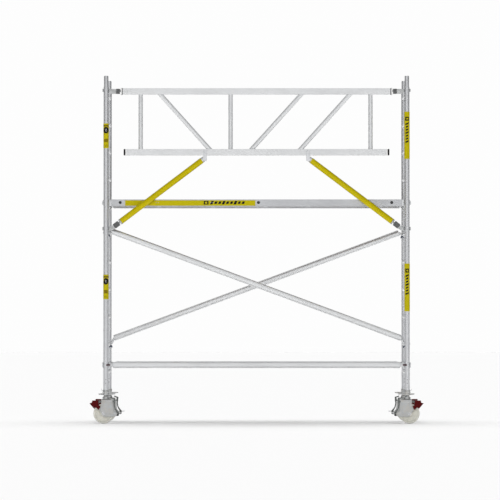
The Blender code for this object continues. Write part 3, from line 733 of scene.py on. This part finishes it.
def leg_piece(corner, place):
    piece = Piece(f"screw_leg_{corner}")
    plate = mm(16.5, 285, 19, 280, 20.5, 276, 26, 270.5, 33.5, 262.5, 34, 261, 34, 254.5, 32.5, 253,
               32.5, 252, 33.8, 250.5, 33.8, 248.5, 32.5, 247.2, 10, 247.2, 10, 236.2, 14.8, 235.5,
               14.8, 231, 13.5, 230, 0, 230)
    piece.add(lathe([(0, 0.285)] + plate, 48), ZINC)
    core = mm(14.5, 280, 16.8, 280, 16.8, 618, 15.5, 620, 14.5, 620)
    piece.add(lathe(core, 32, True), THREAD)
    piece.add(screw_thread(0.282, 0.620, 0.0189, 0.0166), THREAD)
    piece.done(f"leg_{corner}", "zinc_steel", f"leg_{corner}", place=place)


def nut_piece(corner, place):
    piece = Piece(f"wing_nut_{corner}_casting")
    hub = mm(27.2, 335, 30, 334, 31, 332, 31, 312, 29.8, 307, 30, 290, 29.2, 284.5, 27.5, 283, 21.2, 283,
             20, 284.5, 20, 309.5, 26.6, 309.5, 26.6, 333.5)
    piece.add(lathe(hub, 48, True), ZINC)
    for i in range(3):
        turn = Matrix.Rotation(math.pi + math.radians(15) + i * math.tau / 3, 4, "Z")
        arm = rounded(mm(22, -6.8, 60, -5.8, 96.6, -6.8, 96.6, 6.8, 60, 5.8, 22, 6.8), 0.006)
        wing = prism(arm, 0.2865, 0.3035, flat=True, bevel=0.0022, steps=3)
        for vertex in wing.verts:
            taper = max(0.0, min(1.0, (vertex.co.x - 0.028) / 0.065))
            vertex.co.z = 0.295 + (vertex.co.z - 0.295) * (1 - 0.35 * taper) + 0.0022 * taper
        piece.add(wing, ZINC, turn)
    piece.done(f"nut_{corner}", "zinc_steel", f"wing_nut_{corner}", place=place)


def fork_piece(corner, place):
    piece = Piece(f"castor_fork_{corner}")
    outline = rounded(mm(45, 244, 45, 178, 65, 140, 23, 70, -48, 68, -124, 76, -129, 86, -124, 97, -92, 112,
                         -78, 132, -76, 190, -62, 244), 0.010)
    swage = rounded(mm(34, 226, 34, 182, 48, 142, 17, 84, -40, 83, -66, 100, -64, 186, -52, 226), 0.016, 6)
    inner = rounded(mm(26, 218, 26, 186, 38, 142, 12, 92, -36, 91, -57, 106, -56, 184, -45, 218), 0.014, 6)
    axle, pivot, stop = (TRAIL, WHEEL_R), (-0.119, 0.086), (-0.030, 0.205)
    washer = mm(4, 0, 15.5, 0, 15.5, 1.6, 14.8, 2.2, 4, 2.2)
    tip = mm(0, 0, 5.2, 0, 5.2, 1.4, 4, 2.4, 0, 2.6)
    head = mm(0, 0, 9.8, 0, 9.8, 1.6, 8, 3.4, 4, 4, 0, 4)
    seat = mm(5, 0, 7.2, 0, 7.2, 1, 5, 1.4)
    for flip in (-1, 1):
        for plate, near, far, bevel in ((outline, 0.0300, 0.0340, 0.0009), (swage, 0.0335, 0.0352, 0.0008),
                                        (inner, 0.0350, 0.0362, 0.0006)):
            piece.add(prism(plate, *sorted((flip * near, flip * far)), bevel=bevel, steps=2), ZINC)
        piece.add(hexagon((TRAIL, flip * 0.0360, WHEEL_R), (0, flip, 0), 0.0185, 0.0040), STEEL)
        for profile, segments, closed, (x, z), level, look in (
                (washer, 32, True, axle, 0.0342, STEEL), (tip, 20, False, axle, 0.0386, STEEL),
                (head, 28, False, pivot, 0.0338, BLACK), (seat, 24, True, stop, 0.0336, STEEL)):
            piece.add(lathe(profile, segments, closed), look, aim((x, flip * level, z), (x, flip, z)))
    crown = rounded(mm(45, -34, 45, 34, -62, 34, -62, -34), 0.012, 5)
    piece.add(prism(crown, 0.2365, 0.2465, flat=True, bevel=0.0012, steps=2), ZINC)
    race = lathe(mm(12, 233, 30, 233, 30, 246.8, 27, 247, 12, 246.8), 40, True)
    piece.add(race, ZINC)
    for (x, z), half, radius in ((axle, 0.0335, 0.0060), (pivot, 0.0375, 0.0050)):
        piece.add(tube((x, -half, z), (x, half, z), radius, None, 20), STEEL)
    piece.done(f"fork_{corner}", "zinc_steel", f"fork_{corner}", place=place)


def wheel_piece(corner, place):
    piece = Piece(f"castor_wheel_{corner}")
    tread = mm(100, 0, 99.9, 8, 99.5, 14, 98.5, 19, 96.5, 22.2, 93, 24.2, 88.5, 25, 85, 24.5, 83, 22.5,
               81.5, 16, 79, 12, 74, 11, 36, 11, 30, 12.5, 26.2, 17, 25, 24, 24, 27.5, 22.5, 28.5, 13, 28.5,
               12.5, 27, 7, 27)
    profile = tread + [(r, -h) for r, h in reversed(tread[1:])]
    lie = Matrix.Translation((TRAIL, 0, WHEEL_R)) @ Matrix.Rotation(math.pi / 2, 4, "X")
    piece.add(lathe(profile, 72, True), CREAM, lie)
    for flip in (-1, 1):
        for i in range(8):
            rib = box((0.024, -0.0022, 0.009), (0.0835, 0.0022, 0.0215), 0.0008)
            for vertex in rib.verts:
                vertex.co.y *= 1.25 if vertex.co.x < 0.05 else 1.0
            turn = Matrix.Rotation(math.tau * (i + 0.5) / 8, 4, "Z")
            side = Matrix.Diagonal((1, 1, flip, 1))
            piece.add(rib, CREAM, lie @ side @ turn)
        cap = lathe(mm(6.8, 25.5, 12.8, 25.5, 13.5, 28.5, 12.5, 29.2, 8, 29.2, 6.8, 28.5), 36, True)
        piece.add(cap, STEEL, lie @ Matrix.Diagonal((1, 1, flip, 1)))
    piece.done(f"wheel_{corner}", "cream_nylon", f"wheel_{corner}", place=place)


def brake_piece(corner, place):
    lever = Piece(f"brake_bar_{corner}")
    outline = rounded(mm(73.5, 231, 50, 231, 40, 221, -72, 221, -80, 245, -50, 256, -50, 267, -96, 252,
                         -94, 215, -90, 190, -98, 150, -126, 115, -133, 107, -130, 100, -130, 78, -108, 78,
                         -108, 114, -88, 146, -80, 186, -78, 212.5, 48, 212.5, 56, 207,
                         73.5, 207), 0.0030, 3)
    for low, high in ((-0.0200, -0.0150), (0.0150, 0.0200)):
        lever.add(prism(outline, low, high, bevel=0.0007), LEVER)
    lever.add(prism(outline, -0.0155, 0.0155, bevel=0), LEVER, Matrix.Diagonal((0.997, 1, 0.998, 1)))
    tab = rounded(mm(-124, 108.5, -124, 103, -161, 103, -161, 110, -140, 110), 0.0022)
    lever.add(prism(tab, -0.0200, 0.0200, bevel=0.0010, steps=2), CAST_LIGHT)
    for i in range(5):
        x = -0.1585 + i * 0.006
        lever.add(box((x, -0.0165, 0.1092), (x + 0.0022, 0.0165, 0.1108), 0.0004, 1), CAST_LIGHT)
    lever.done(f"brake_{corner}", "dark_steel", f"brake_lever_{corner}", place=place)
    pedal = f"brake_pedal_{corner}"
    moulded(pedal, "moulding", RED, 0.0012).done(f"brake_{corner}", "red_plastic", pedal)
    # Grip ribs and a thin plate along the pedal's down-facing outer face, heel to toe. Their dark red is
    # painted shade for that face.
    pad = Piece(f"{pedal}_pad")
    heel, toe = Vector((0.1636, 0, 0.2030)), Vector((0.1166, 0, 0.1490))
    along = (toe - heel).normalized()
    out = Vector((-along.z, 0, along.x))
    for i in range(9):
        pad.add(rib(heel + along * (0.005 + i * 0.0068) - out * 0.0010, (0, 0.0315, 0), 0.0018), RED_PAD_SHADE)
    pad.add(prism(((heel.x - 0.0010, heel.z - 0.0004), (toe.x + 0.0002, toe.z + 0.0006),
                   (toe.x - 0.0022, toe.z + 0.0050), (heel.x - 0.0080, heel.z + 0.0016)),
                  -0.0342, 0.0342, bevel=0.0004), RED_PAD_SHADE)
    pad.done(f"brake_{corner}", "red_plastic", place=place)


for corner, place in corners():
    leg_piece(corner, place)
    nut_piece(corner, place)
    fork_piece(corner, place)
    wheel_piece(corner, place)
    brake_piece(corner, place)


# Braces

def hook_outline(outer, inner, start, end):
    """A C between two angles in degrees, with slightly eased tips."""
    angles = [math.radians(start + (end - start) * i / 24) for i in range(25)]
    points = [(outer, a) for a in angles] + [(inner, a) for a in reversed(angles)]
    return rounded([(r * math.cos(a), r * math.sin(a)) for r, a in points], 0.0012, 2)


def horizontal_brace(face):
    y, end = FACES[face] * UPRIGHT_Y, UPRIGHT_X - 0.075
    piece = Piece(f"horizontal_brace_{face}_tube")
    piece.add(tube((-end, y, BRACE_Z), (end, y, BRACE_Z), 0.0305, 0.0280, 56), ALU_X)
    for flip in (-1, 1):
        jaw = prism(hook_outline(0.0375, 0.0268, -20, 200), -0.026, 0.026, flat=True, bevel=0.0016, steps=2)
        place = Matrix.Translation((flip * UPRIGHT_X, y, BRACE_Z)) @ Matrix.Diagonal((1, -FACES[face], 1, 1))
        piece.add(jaw, CAST_LIGHT, place)
        near, far = flip * (UPRIGHT_X - 0.034), flip * (end - 0.010)
        piece.add(box((near, y - 0.0118, BRACE_Z - 0.0168), (far, y + 0.0118, BRACE_Z + 0.0168), 0.003, 3),
                  CAST_LIGHT)
        near, far = flip * (end + 0.0035), flip * (end - 0.028)
        piece.add(tube((near, y, BRACE_Z), (far, y, BRACE_Z), 0.0279, None, 40), CAST_LIGHT)
        for out in (1, -1):
            spot = (flip * (end - 0.020), y, BRACE_Z + out * 0.0303)
            piece.add(rivet(spot, (0, 0, out), 0.0042, 0.0018), STEEL)
    piece.done("tower", "aluminium", f"horizontal_brace_{face}")


def diagonal_brace(face):
    low, high = rung_height(1), rung_height(5)
    left_z, right_z, look = (high, low, ALU_FALL) if face == "front" else (low, high, ALU_RISE)
    y = FACES[face] * DIAGONAL_Y
    left = Vector((-UPRIGHT_X, y, left_z + DIAGONAL_RAISE))
    right = Vector((UPRIGHT_X, y, right_z + DIAGONAL_RAISE))
    along = (right - left).normalized()
    across = Vector((0, 1, 0)).cross(along).normalized()
    piece = Piece(f"diagonal_brace_{face}_tube")
    piece.add(tube(left + along * 0.060, right - along * 0.060, DIAGONAL_R, 0.0270, 56), look)
    for point, inwards, rung_z, flip in ((left, along, left_z, -1), (right, -along, right_z, 1)):
        piece.add(tube(point + inwards * 0.0600, point + inwards * 0.095, 0.0269, None, 40), CAST_LIGHT)
        root = Vector((flip * (UPRIGHT_X - 0.028), y, rung_z + 0.006))
        piece.add(tube(root, point + inwards * 0.062, 0.0124, None, 32), CAST_LIGHT)
        place = Matrix.Translation((flip * UPRIGHT_X, y, rung_z)) @ Matrix.Diagonal((flip, 1, 1, 1))
        hook = prism(hook_outline(0.0340, 0.0222, -5, 190), -0.015, 0.015, bevel=0.0016, steps=2)
        piece.add(hook, CAST_LIGHT, place)
        for out in (across, -across):
            spot = point + inwards * 0.082 + out * (DIAGONAL_R - 0.0003)
            piece.add(rivet(spot, out, 0.0040, 0.0018), STEEL)
    piece.done("tower", "aluminium", f"diagonal_brace_{face}")


def pawl(node, look, slot, pin, half, radius):
    """A moulded catch with the steel pin that it turns on."""
    pin, half = Vector(pin), Vector(half)
    piece = moulded(node, "moulding", look).add(tube(pin - half, pin + half, radius, None, 16), STEEL)
    piece.done(node, slot, node)


for face in FACES:
    horizontal_brace(face)
    diagonal_brace(face)
    for side in SIDES:
        x, y = SIDES[side], FACES[face]
        pin = (x * (UPRIGHT_X - 0.0330), y * (UPRIGHT_Y + 0.0150), BRACE_Z)
        pawl(f"brace_pawl_{face}_{side}", MAROON, "red_plastic", pin, (0, 0, 0.0085), 0.0028)
        rung = 5 if (side == "left") == (face == "front") else 1
        pin = (x * (UPRIGHT_X - 0.030), y * DIAGONAL_Y, rung_height(rung) - 0.012)
        pawl(f"diagonal_pawl_{face}_{side}", NAVY, "blue_plastic", pin, (0, 0.0092, 0), 0.0026)


# Guardrail

def rail_tube(end, z):
    """A rounded rectangular extrusion."""
    y = -UPRIGHT_Y
    outline = rounded(rectangle(y - RAIL_HALF_Y, z - RAIL_HALF_Z, y + RAIL_HALF_Y, z + RAIL_HALF_Z), 0.0045, 5)
    inner = rounded(rectangle(y - 0.0205, z - 0.0295, y + 0.0205, z + 0.0295), 0.0030, 5)
    part = bmesh.new()
    rings = [[part.verts.new((x, a, b)) for a, b in line] for x, line in
             ((-end, outline), (end, outline), (end, inner), (-end, inner))]
    return skin(part, rings + rings[:1])


def rail_block(flip, near, far, z, half_y, half_z, bevel, steps=2):
    """A block round a rail between two distances from the middle of the bay."""
    return box((flip * near, -UPRIGHT_Y - half_y, z - half_z), (flip * far, -UPRIGHT_Y + half_y, z + half_z),
               bevel, steps)


def arm_line(flip):
    """The ends of a yellow arm and its direction upwards."""
    low, high = (Vector((flip * x, -UPRIGHT_Y, z)) for x, z in (ARM_LOW, ARM_HIGH))
    return low, high, (high - low).normalized()


def guardrail():
    y, front = -UPRIGHT_Y, -UPRIGHT_Y - RAIL_HALF_Y
    piece = Piece("guardrail_frame_tubes")
    piece.add(rail_tube(RAIL_END, TOP_RAIL_Z), ALU_X).add(rail_tube(MID_RAIL_END - 0.018, MID_RAIL_Z), ALU_X)
    low_z, high_z = MID_RAIL_Z + RAIL_HALF_Z, TOP_RAIL_Z - RAIL_HALF_Z

    def strut(start, end, sunk, look):
        along = (end - start).normalized()
        piece.add(tube(start - along * sunk, end + along * sunk, POST_R, POST_BORE, 40), look)
        for spot, up in ((start, 1), (end, -1)):
            ring = weld((0, 0, 0), (0, 0, up), (1, 0, 0), POST_R + 0.0006, None, 0.0024)
            for vertex in ring.verts:
                vertex.co.x /= along.z
            piece.add(ring, WELD, Matrix.Translation(spot))

    for x in POSTS_X:
        strut(Vector((x, y, low_z)), Vector((x, y, high_z)), 0.001, POST)
    for letter, (high_x, low_x) in zip("abc", INFILL):
        slope = (high_x - low_x) / (TOP_RAIL_Z - MID_RAIL_Z)
        start = Vector((low_x + slope * RAIL_HALF_Z, y, low_z))
        end = Vector((high_x - slope * RAIL_HALF_Z, y, high_z))
        look = drawn_aluminium(f"drawn_aluminium_infill_{letter}", end - start, POST_TONE, 0.50)
        strut(start, end, 0.012, look)
    half_y, half_z = RAIL_HALF_Y + 0.0002, RAIL_HALF_Z + 0.0002
    for flip in (-1, 1):
        middle = flip * STRAP_X
        high, along = arm_line(flip)[1:]
        strap = rounded(rectangle(middle - 0.019, 2.640, middle + 0.019, 2.749), 0.006, 5)
        piece.add(prism(strap, front - 0.004, front, bevel=0.0012, steps=2), ALU_Z)
        block = box((middle - 0.017, front, 2.645), (middle + 0.017, y + 0.020, 2.7005), 0.004, 3)
        piece.add(block, CAST_LIGHT)
        piece.add(tube(high - along * 0.055, high + along * 0.030, 0.0262, None, 40), CAST_LIGHT)
        piece.add(tube(high + along * 0.0004, high + along * 0.004, 0.0286, 0.0255, 40), CAST_LIGHT)
        for z in (2.722, 2.741):
            piece.add(rivet((middle, front - 0.0038, z), (0, -1, 0), 0.0042, 0.0016), STEEL)
        piece.add(rail_block(flip, MID_RAIL_END - 0.0175, MID_RAIL_END, MID_RAIL_Z, half_y, half_z, 0.0042, 4),
                  BLACK)
        piece.add(rail_block(flip, MID_RAIL_END - 0.0285, MID_RAIL_END - 0.0180, MID_RAIL_Z, half_y, half_z,
                             0.0012), COLLAR)
        for x in (RAIL_END - 0.022, RAIL_END - 0.046):
            piece.add(rivet((flip * x, front + 0.0002, TOP_RAIL_Z), (0, -1, 0), 0.0040, 0.0016), STEEL)
    piece.done("tower", "aluminium", "guardrail_frame")


def guardrail_ends(side):
    flip, y = SIDES[side], -UPRIGHT_Y
    claw = moulded(f"guardrail_claw_{side}", "casting", CAST)
    for near, far, half_y, half_z, bevel, look in ((0.1660, 0.1590, 0.0252, 0.0334, 0.0015, BLACK),
                                                   (0.1585, 0.1488, 0.0250, 0.0330, 0.0020, COLLAR)):
        claw.add(rail_block(flip, UPRIGHT_X - near, UPRIGHT_X - far, TOP_RAIL_Z, half_y, half_z, bevel), look)
    claw.done("tower", "zinc_steel", f"guardrail_claw_{side}")
    name = f"guardrail_trigger_{side}"
    trigger = moulded(name, "sleeve", GREY, 0.0014)
    for i in range(4):
        x = flip * (UPRIGHT_X - 0.1100 - i * 0.0072)
        for z in (TOP_RAIL_Z - 0.024, TOP_RAIL_Z + 0.026):
            trigger.add(rib((x, y, z), (0, 0.018, 0), 0.0013), GREY)
        trigger.add(rib((x, y - 0.0222, TOP_RAIL_Z + 0.001), (0, 0, 0.021), 0.0011), GREY)
    trigger.done(name, "dark_plastic", name)


def arm_pieces(side):
    low, high, along = arm_line(SIDES[side])
    across = Vector((0, 1, 0)).cross(along).normalized()
    arm = Piece(f"guardrail_arm_{side}_tube").add(tube(low, high, ARM_R, 0.027, 56), YELLOW)
    for spot in (low + along * 0.022, high - along * 0.022):
        for out in (across, -across):
            arm.add(rivet(spot + out * (ARM_R - 0.0004), out, 0.0042, 0.0018), STEEL)
    arm.done("tower", "yellow_paint", f"guardrail_arm_{side}")
    claw = moulded(f"arm_claw_{side}", "casting", CAST)
    claw.add(tube(low - along * 0.0155, low - along * 0.0006, 0.0287, 0.020, 48, 0.0015), CAST)
    claw.add(tube(low - along * 0.0008, low + along * 0.0002, 0.0292, 0.026, 48, 0.0002), BLACK)
    claw.done("tower", "zinc_steel", f"arm_claw_{side}")
    name = f"arm_trigger_{side}"
    trigger = moulded(name, "sleeve", GREY, 0.0014)
    for i in range(7):
        spot = low - along * (0.0335 + i * 0.0080)
        for out in (across, -across):
            trigger.add(rib(spot + out * 0.0252, (0, 0.017, 0), 0.0012), GREY)
        trigger.add(rib(spot - Vector((0, 0.0232, 0)), across * 0.020, 0.0011), GREY)
    trigger.done(name, "dark_plastic", name)


guardrail()
for side in SIDES:
    guardrail_ends(side)
    arm_pieces(side)


# Platform

def side_beam(flip):
    """A hollow beam: a shallow channel between two ribs outside, and a ledge inside."""
    out, inner = BEAM_OUT, BEAM_IN
    profile = [(out - 0.0010, BEAM_LOW), (out, BEAM_LOW + 0.0010), (out, 2.1905), (out - 0.0012, 2.1915),
               (out - 0.0012, 2.2475), (out, 2.2485), (out, BEAM_HIGH - 0.0010), (out - 0.0010, BEAM_HIGH),
               (inner + 0.0006, BEAM_HIGH), (inner, BEAM_HIGH - 0.0006), (inner, 2.2427),
               (inner - 0.0200, 2.2427), (inner - 0.0200, 2.2400), (inner - 0.0180, 2.2388),
               (inner - 0.0030, 2.2370), (inner, 2.2320), (inner, BEAM_LOW + 0.0006),
               (inner + 0.0006, BEAM_LOW)]
    part = bmesh.new()
    rings = [[part.verts.new((x, flip * y, z)) for y, z in profile] for x in (-BEAM_END, BEAM_END)]
    return skin(part, rings, ends=True)


def chassis():
    piece = Piece("platform_chassis_beams")
    for flip in (-1, 1):
        piece.add(side_beam(flip), BEAM)
    for x in (-1.0, -0.45, 0.10, HATCH_LOW_X - 0.020, HATCH_HIGH_X + 0.020):
        piece.add(box((x - 0.0185, -BEAM_IN, 2.2052), (x + 0.0185, BEAM_IN, 2.2424), 0.0016), ALU_Y)
        for flip in (-1, 1):
            for dx in (-0.0185, 0.0185):
                bead = [(x + dx, flip * (BEAM_IN - 0.0006), 2.2060 + 0.0345 * i / 16) for i in range(17)]
                piece.add(sweep(bead, 0.0022, 6, False, 0.15, 5), WELD)
            for dx in (-0.011, 0.011):
                spot = (x + dx, flip * (BEAM_OUT - 0.0014), 2.2235)
                piece.add(rivet(spot, (0, flip, 0), 0.0045, 0.0018), BEAM)
    piece.done("tower", "aluminium", "platform_chassis")
    for index, x in enumerate((-1.374, 0.020, 1.363)):
        ring = lathe(mm(9, -1, 15, -1, 15, 1, 13.5, 2.2, 9, 1.6), 36, True)
        middle = lathe(mm(0, 0.4, 9.2, 0.4, 9.2, -1, 0, -1), 30)
        slot = box((-0.0085, -0.0012, 0.0002), (0.0085, 0.0012, 0.0012), 0.0003, 1)
        place = aim((x, -BEAM_OUT + 0.0012, 2.2245), (x, -1, 2.2245))
        button = Piece(f"beam_plug_{index + 1}").add(ring, BLACK, place).add(middle, BLACK, place)
        button.add(slot, GREY, place).done("tower", "dark_plastic")


def beam_label():
    """Yellow film along the front beam with generic marks that are no lettering."""
    piece = Piece("beam_label")
    level, middle = BEAM_OUT - 0.0012, 2.223
    ink = level + 0.0004
    piece.add(panel(-1.325, -0.012, 2.1925, 2.2465, 0.0004, 1, level), YELLOW_FILM)
    piece.add(panel(-0.532, -0.484, 2.2045, 2.2415, PRINT, 1, ink), BLACK_FILM)
    piece.add(dot(-0.508, middle, 0.0115, level=ink + PRINT), YELLOW_FILM)
    for i in range(9):
        x, tall = -0.462 + i * 0.0395, 0.0125 if i % 3 else 0.0175
        bar = panel(x, x + 0.0255, middle - tall, middle + tall, PRINT, 1, ink)
        for vertex in bar.verts:
            vertex.co.x += (vertex.co.z - middle) * SLANT
        piece.add(bar, BLACK_FILM)
    piece.done("tower", "yellow_paint")


def deck_piece(node, screws):
    piece = moulded(node, "board", PLY, 0.0006)
    for x, y in screws:
        piece.add(rivet((x, y, DECK_HIGH - 0.0004), (0, 0, 1), 0.0055, 0.0013), STEEL)
    return piece


def hatch_fittings():
    """Hinge leaves and knuckles along the front edge, a lift ring and the latch's turn plate."""
    edge, hinges = BEAM_IN - 0.001, (HATCH_LOW_X + 0.10, HATCH_HIGH_X - 0.10)

    def knuckle(x):
        z = DECK_HIGH - 0.0002
        return tube((x - 0.009, -edge, z), (x + 0.009, -edge, z), 0.0030, None, 18, 0.0003)

    def leaf(x, half, low_y, high_y, level, sunk=0.0004, proud=0.0006):
        return box((x - half, low_y, level - sunk), (x + half, high_y, level + proud), 0.0003, 1)

    hatch = deck_piece("hatch", [(x, y) for x in hinges for y in (-0.262, -0.246)])
    for x in hinges:
        hatch.add(leaf(x, 0.030, -edge + 0.006, -edge + 0.048, DECK_HIGH), ZINC).add(knuckle(x), ZINC)
    for y in (-0.02, 0.02):
        hatch.add(rivet((LATCH_X, y, DECK_HIGH - 0.0004), (0, 0, 1), 0.005, 0.0012), STEEL)
    ring = [(LATCH_X + 0.045 * c, 0.19 + 0.018 * s, DECK_HIGH + 0.0004) for c, s in circle(32)]
    hatch.add(sweep(ring, 0.0022, 8, True), STEEL)
    for x in (HATCH_LOW_X + 0.004, HATCH_HIGH_X - 0.004):
        hatch.add(leaf(x, 0.0032, -edge + 0.004, edge - 0.004, DECK_HIGH, 0.0006, 0.0005), BEAM)
    hatch.done("hatch", "plywood", "hatch")
    hinge = Piece("hatch_hinge_leaves")
    for x in hinges:
        hinge.add(knuckle(x - 0.020), ZINC).add(knuckle(x + 0.020), ZINC)
        hinge.add(leaf(x, 0.030, -BEAM_OUT + 0.004, -edge - 0.002, BEAM_HIGH), ZINC)
        for dx in (-0.018, 0.018):
            hinge.add(rivet((x + dx, -0.300, BEAM_HIGH + 0.0004), (0, 0, 1), 0.004, 0.0010), STEEL)
    hinge.done("tower", "zinc_steel")
    latch = moulded("hatch_latch", "turn", BLACK, 0.0008)
    latch.add(box((LATCH_X - 0.014, 0.245 - 0.0016, DECK_HIGH + 0.0034),
                  (LATCH_X + 0.014, 0.245 + 0.0016, DECK_HIGH + 0.0048), 0.0004, 1), GREY)
    latch.done("hatch_latch", "dark_plastic", "hatch_latch")


def platform_end(side):
    flip = SIDES[side]
    piece = moulded(f"platform_end_{side}", "casting", CAST_LIGHT, 0.0018, 3)
    for y in (-0.292, 0.292):
        for dy in (-0.009, 0.009):
            piece.add(hexagon((flip * 1.4795, y + dy, 2.2552), (0, 0, 1), 0.008, 0.0006, 0.0002), STEEL)
    for y in (-0.2, 0.2):
        piece.add(rivet((flip * 1.4884, y, 2.224), (flip, 0, 0), 0.005, 0.002), STEEL)
    piece.done("tower", "aluminium", f"platform_end_{side}")
    flap = moulded(f"windlock_{side}", "flap", ZINC)
    pin_x, pin_z = flip * 1.4760, 2.1880
    flap.add(tube((pin_x, -0.0345, pin_z), (pin_x, 0.0345, pin_z), 0.0032, None, 20, 0.0004), STEEL)
    for out in (-1, 1):
        coil = [(pin_x + 0.0046 * c, out * (0.0335 + 0.00099 * i / 12), pin_z + 0.0046 * s)
                for i, (c, s) in enumerate(3 * circle(12) + [(1, 0)])]
        flap.add(sweep(coil, 0.0007, 6), STEEL)
    flap.done(f"windlock_{side}", "zinc_steel", f"windlock_{side}")


chassis()
beam_label()
for node, columns in (("deck_panel_long", (-1.45, -1.0, -0.45, 0.10, 0.535)),
                      ("deck_panel_short", (1.275, 1.45))):
    spots = [(x, y) for x in columns for y in (-0.27, 0, 0.27)]
    deck_piece(node, spots).done("tower", "plywood", node)
hatch_fittings()
for side in SIDES:
    platform_end(side)


# Floor, light and camera

def floor():
    mesh = bpy.data.meshes.new("floor")
    mesh.from_pydata([(-60, -40, 0), (60, -40, 0), (60, 90, 0), (-60, 90, 0)], [], [(0, 1, 2, 3)])
    look = Look("studio_floor", (0.90, 0.90, 0.90), 0.0, 0.9, 0.0)
    mesh.materials.append(look.material)
    made = in_scene("floor", mesh)
    return made


def studio():
    """White seen by the camera; a room bright in front of the object and dim behind it for everything else."""
    world = bpy.data.worlds.new("studio")
    bpy.context.scene.world = world
    world.use_nodes = True
    world.node_tree.nodes.clear()
    room = Nodes(world.node_tree)
    direction = room.node("ShaderNodeTexCoord").outputs["Generated"]
    sideways, depth = room.node("ShaderNodeSeparateXYZ", Vector=direction).outputs[:2]
    ramp = room.node("ShaderNodeValToRGB", Fac=room.math("ABSOLUTE", sideways))
    stops = ((0.0, 0.88), (0.34, 0.86), (0.60, 0.36), (1.0, 0.26))
    while len(ramp.color_ramp.elements) < len(stops):
        ramp.color_ramp.elements.new(0.5)
    for element, (position, value) in zip(ramp.color_ramp.elements, stops):
        element.position, element.color = position, (value, value, value, 1)
    dimmed = room.node("ShaderNodeVectorMath", "SCALE", Scale=room.ramped(depth, 0.2, 1.0, 1.0, 0.62))
    room.feed(dimmed.inputs[0], ramp.outputs[0])
    path = room.node("ShaderNodeLightPath").outputs
    strength = room.ramped(path["Is Diffuse Ray"], 0.0, 1.0, 1.0, DIFFUSE_FILL)
    lit = room.node("ShaderNodeBackground", Color=dimmed.outputs[0], Strength=strength)
    white = room.node("ShaderNodeBackground", Color=(0.985, 0.985, 0.985, 1))
    blend = room.node("ShaderNodeMixShader")
    for socket, value in zip(blend.inputs, (path["Is Camera Ray"], lit.outputs[0], white.outputs[0])):
        room.feed(socket, value)
    room.node("ShaderNodeOutputWorld", Surface=blend.outputs[0])


def linked(light_object, ground, state):
    """Lets a light reach the floor only, or everything but the floor."""
    group = bpy.data.collections.new(f"{light_object.name}_receivers")
    group.objects.link(ground)
    group.collection_objects[0].light_linking.link_state = state
    light_object.light_linking.receiver_collection = group


def overhead(ground):
    """A wide soft sun, a little from behind, that only the floor receives."""
    light = bpy.data.lights.new("overhead_sun", "SUN")
    light.energy, light.angle = 2.80, math.radians(60)
    made = in_scene("overhead_sun", light)
    made.rotation_euler = Vector((0, -0.10, -1)).to_track_quat("-Z", "Y").to_euler()
    linked(made, ground, "INCLUDE")


def front_softbox(ground):
    """A large panel near the camera that fills everything but the floor."""
    light = bpy.data.lights.new("front_softbox", "AREA")
    light.shape, light.size, light.size_y, light.energy = "RECTANGLE", 9.0, 7.0, 800
    made = in_scene("front_softbox", light)
    made.location = (-1.5, -14.0, 6.0)
    made.visible_glossy = False
    made.rotation_euler = (Vector((0, 0, 1.6)) - made.location).to_track_quat("-Z", "Y").to_euler()
    linked(made, ground, "EXCLUDE")


def camera():
    data = bpy.data.cameras.new("camera")
    data.sensor_width, data.lens = 36.0, 236.1
    data.clip_start, data.clip_end = 1.0, 200.0
    made = in_scene("camera", data)
    made.location = (0, -33.35, 0.977)
    made.rotation_euler = (math.radians(90 + 1.333), 0, math.radians(0.114))
    bpy.context.scene.camera = made


bpy.context.scene.view_settings.view_transform = "Standard"
ground = floor()
studio()
overhead(ground)
front_softbox(ground)
camera()
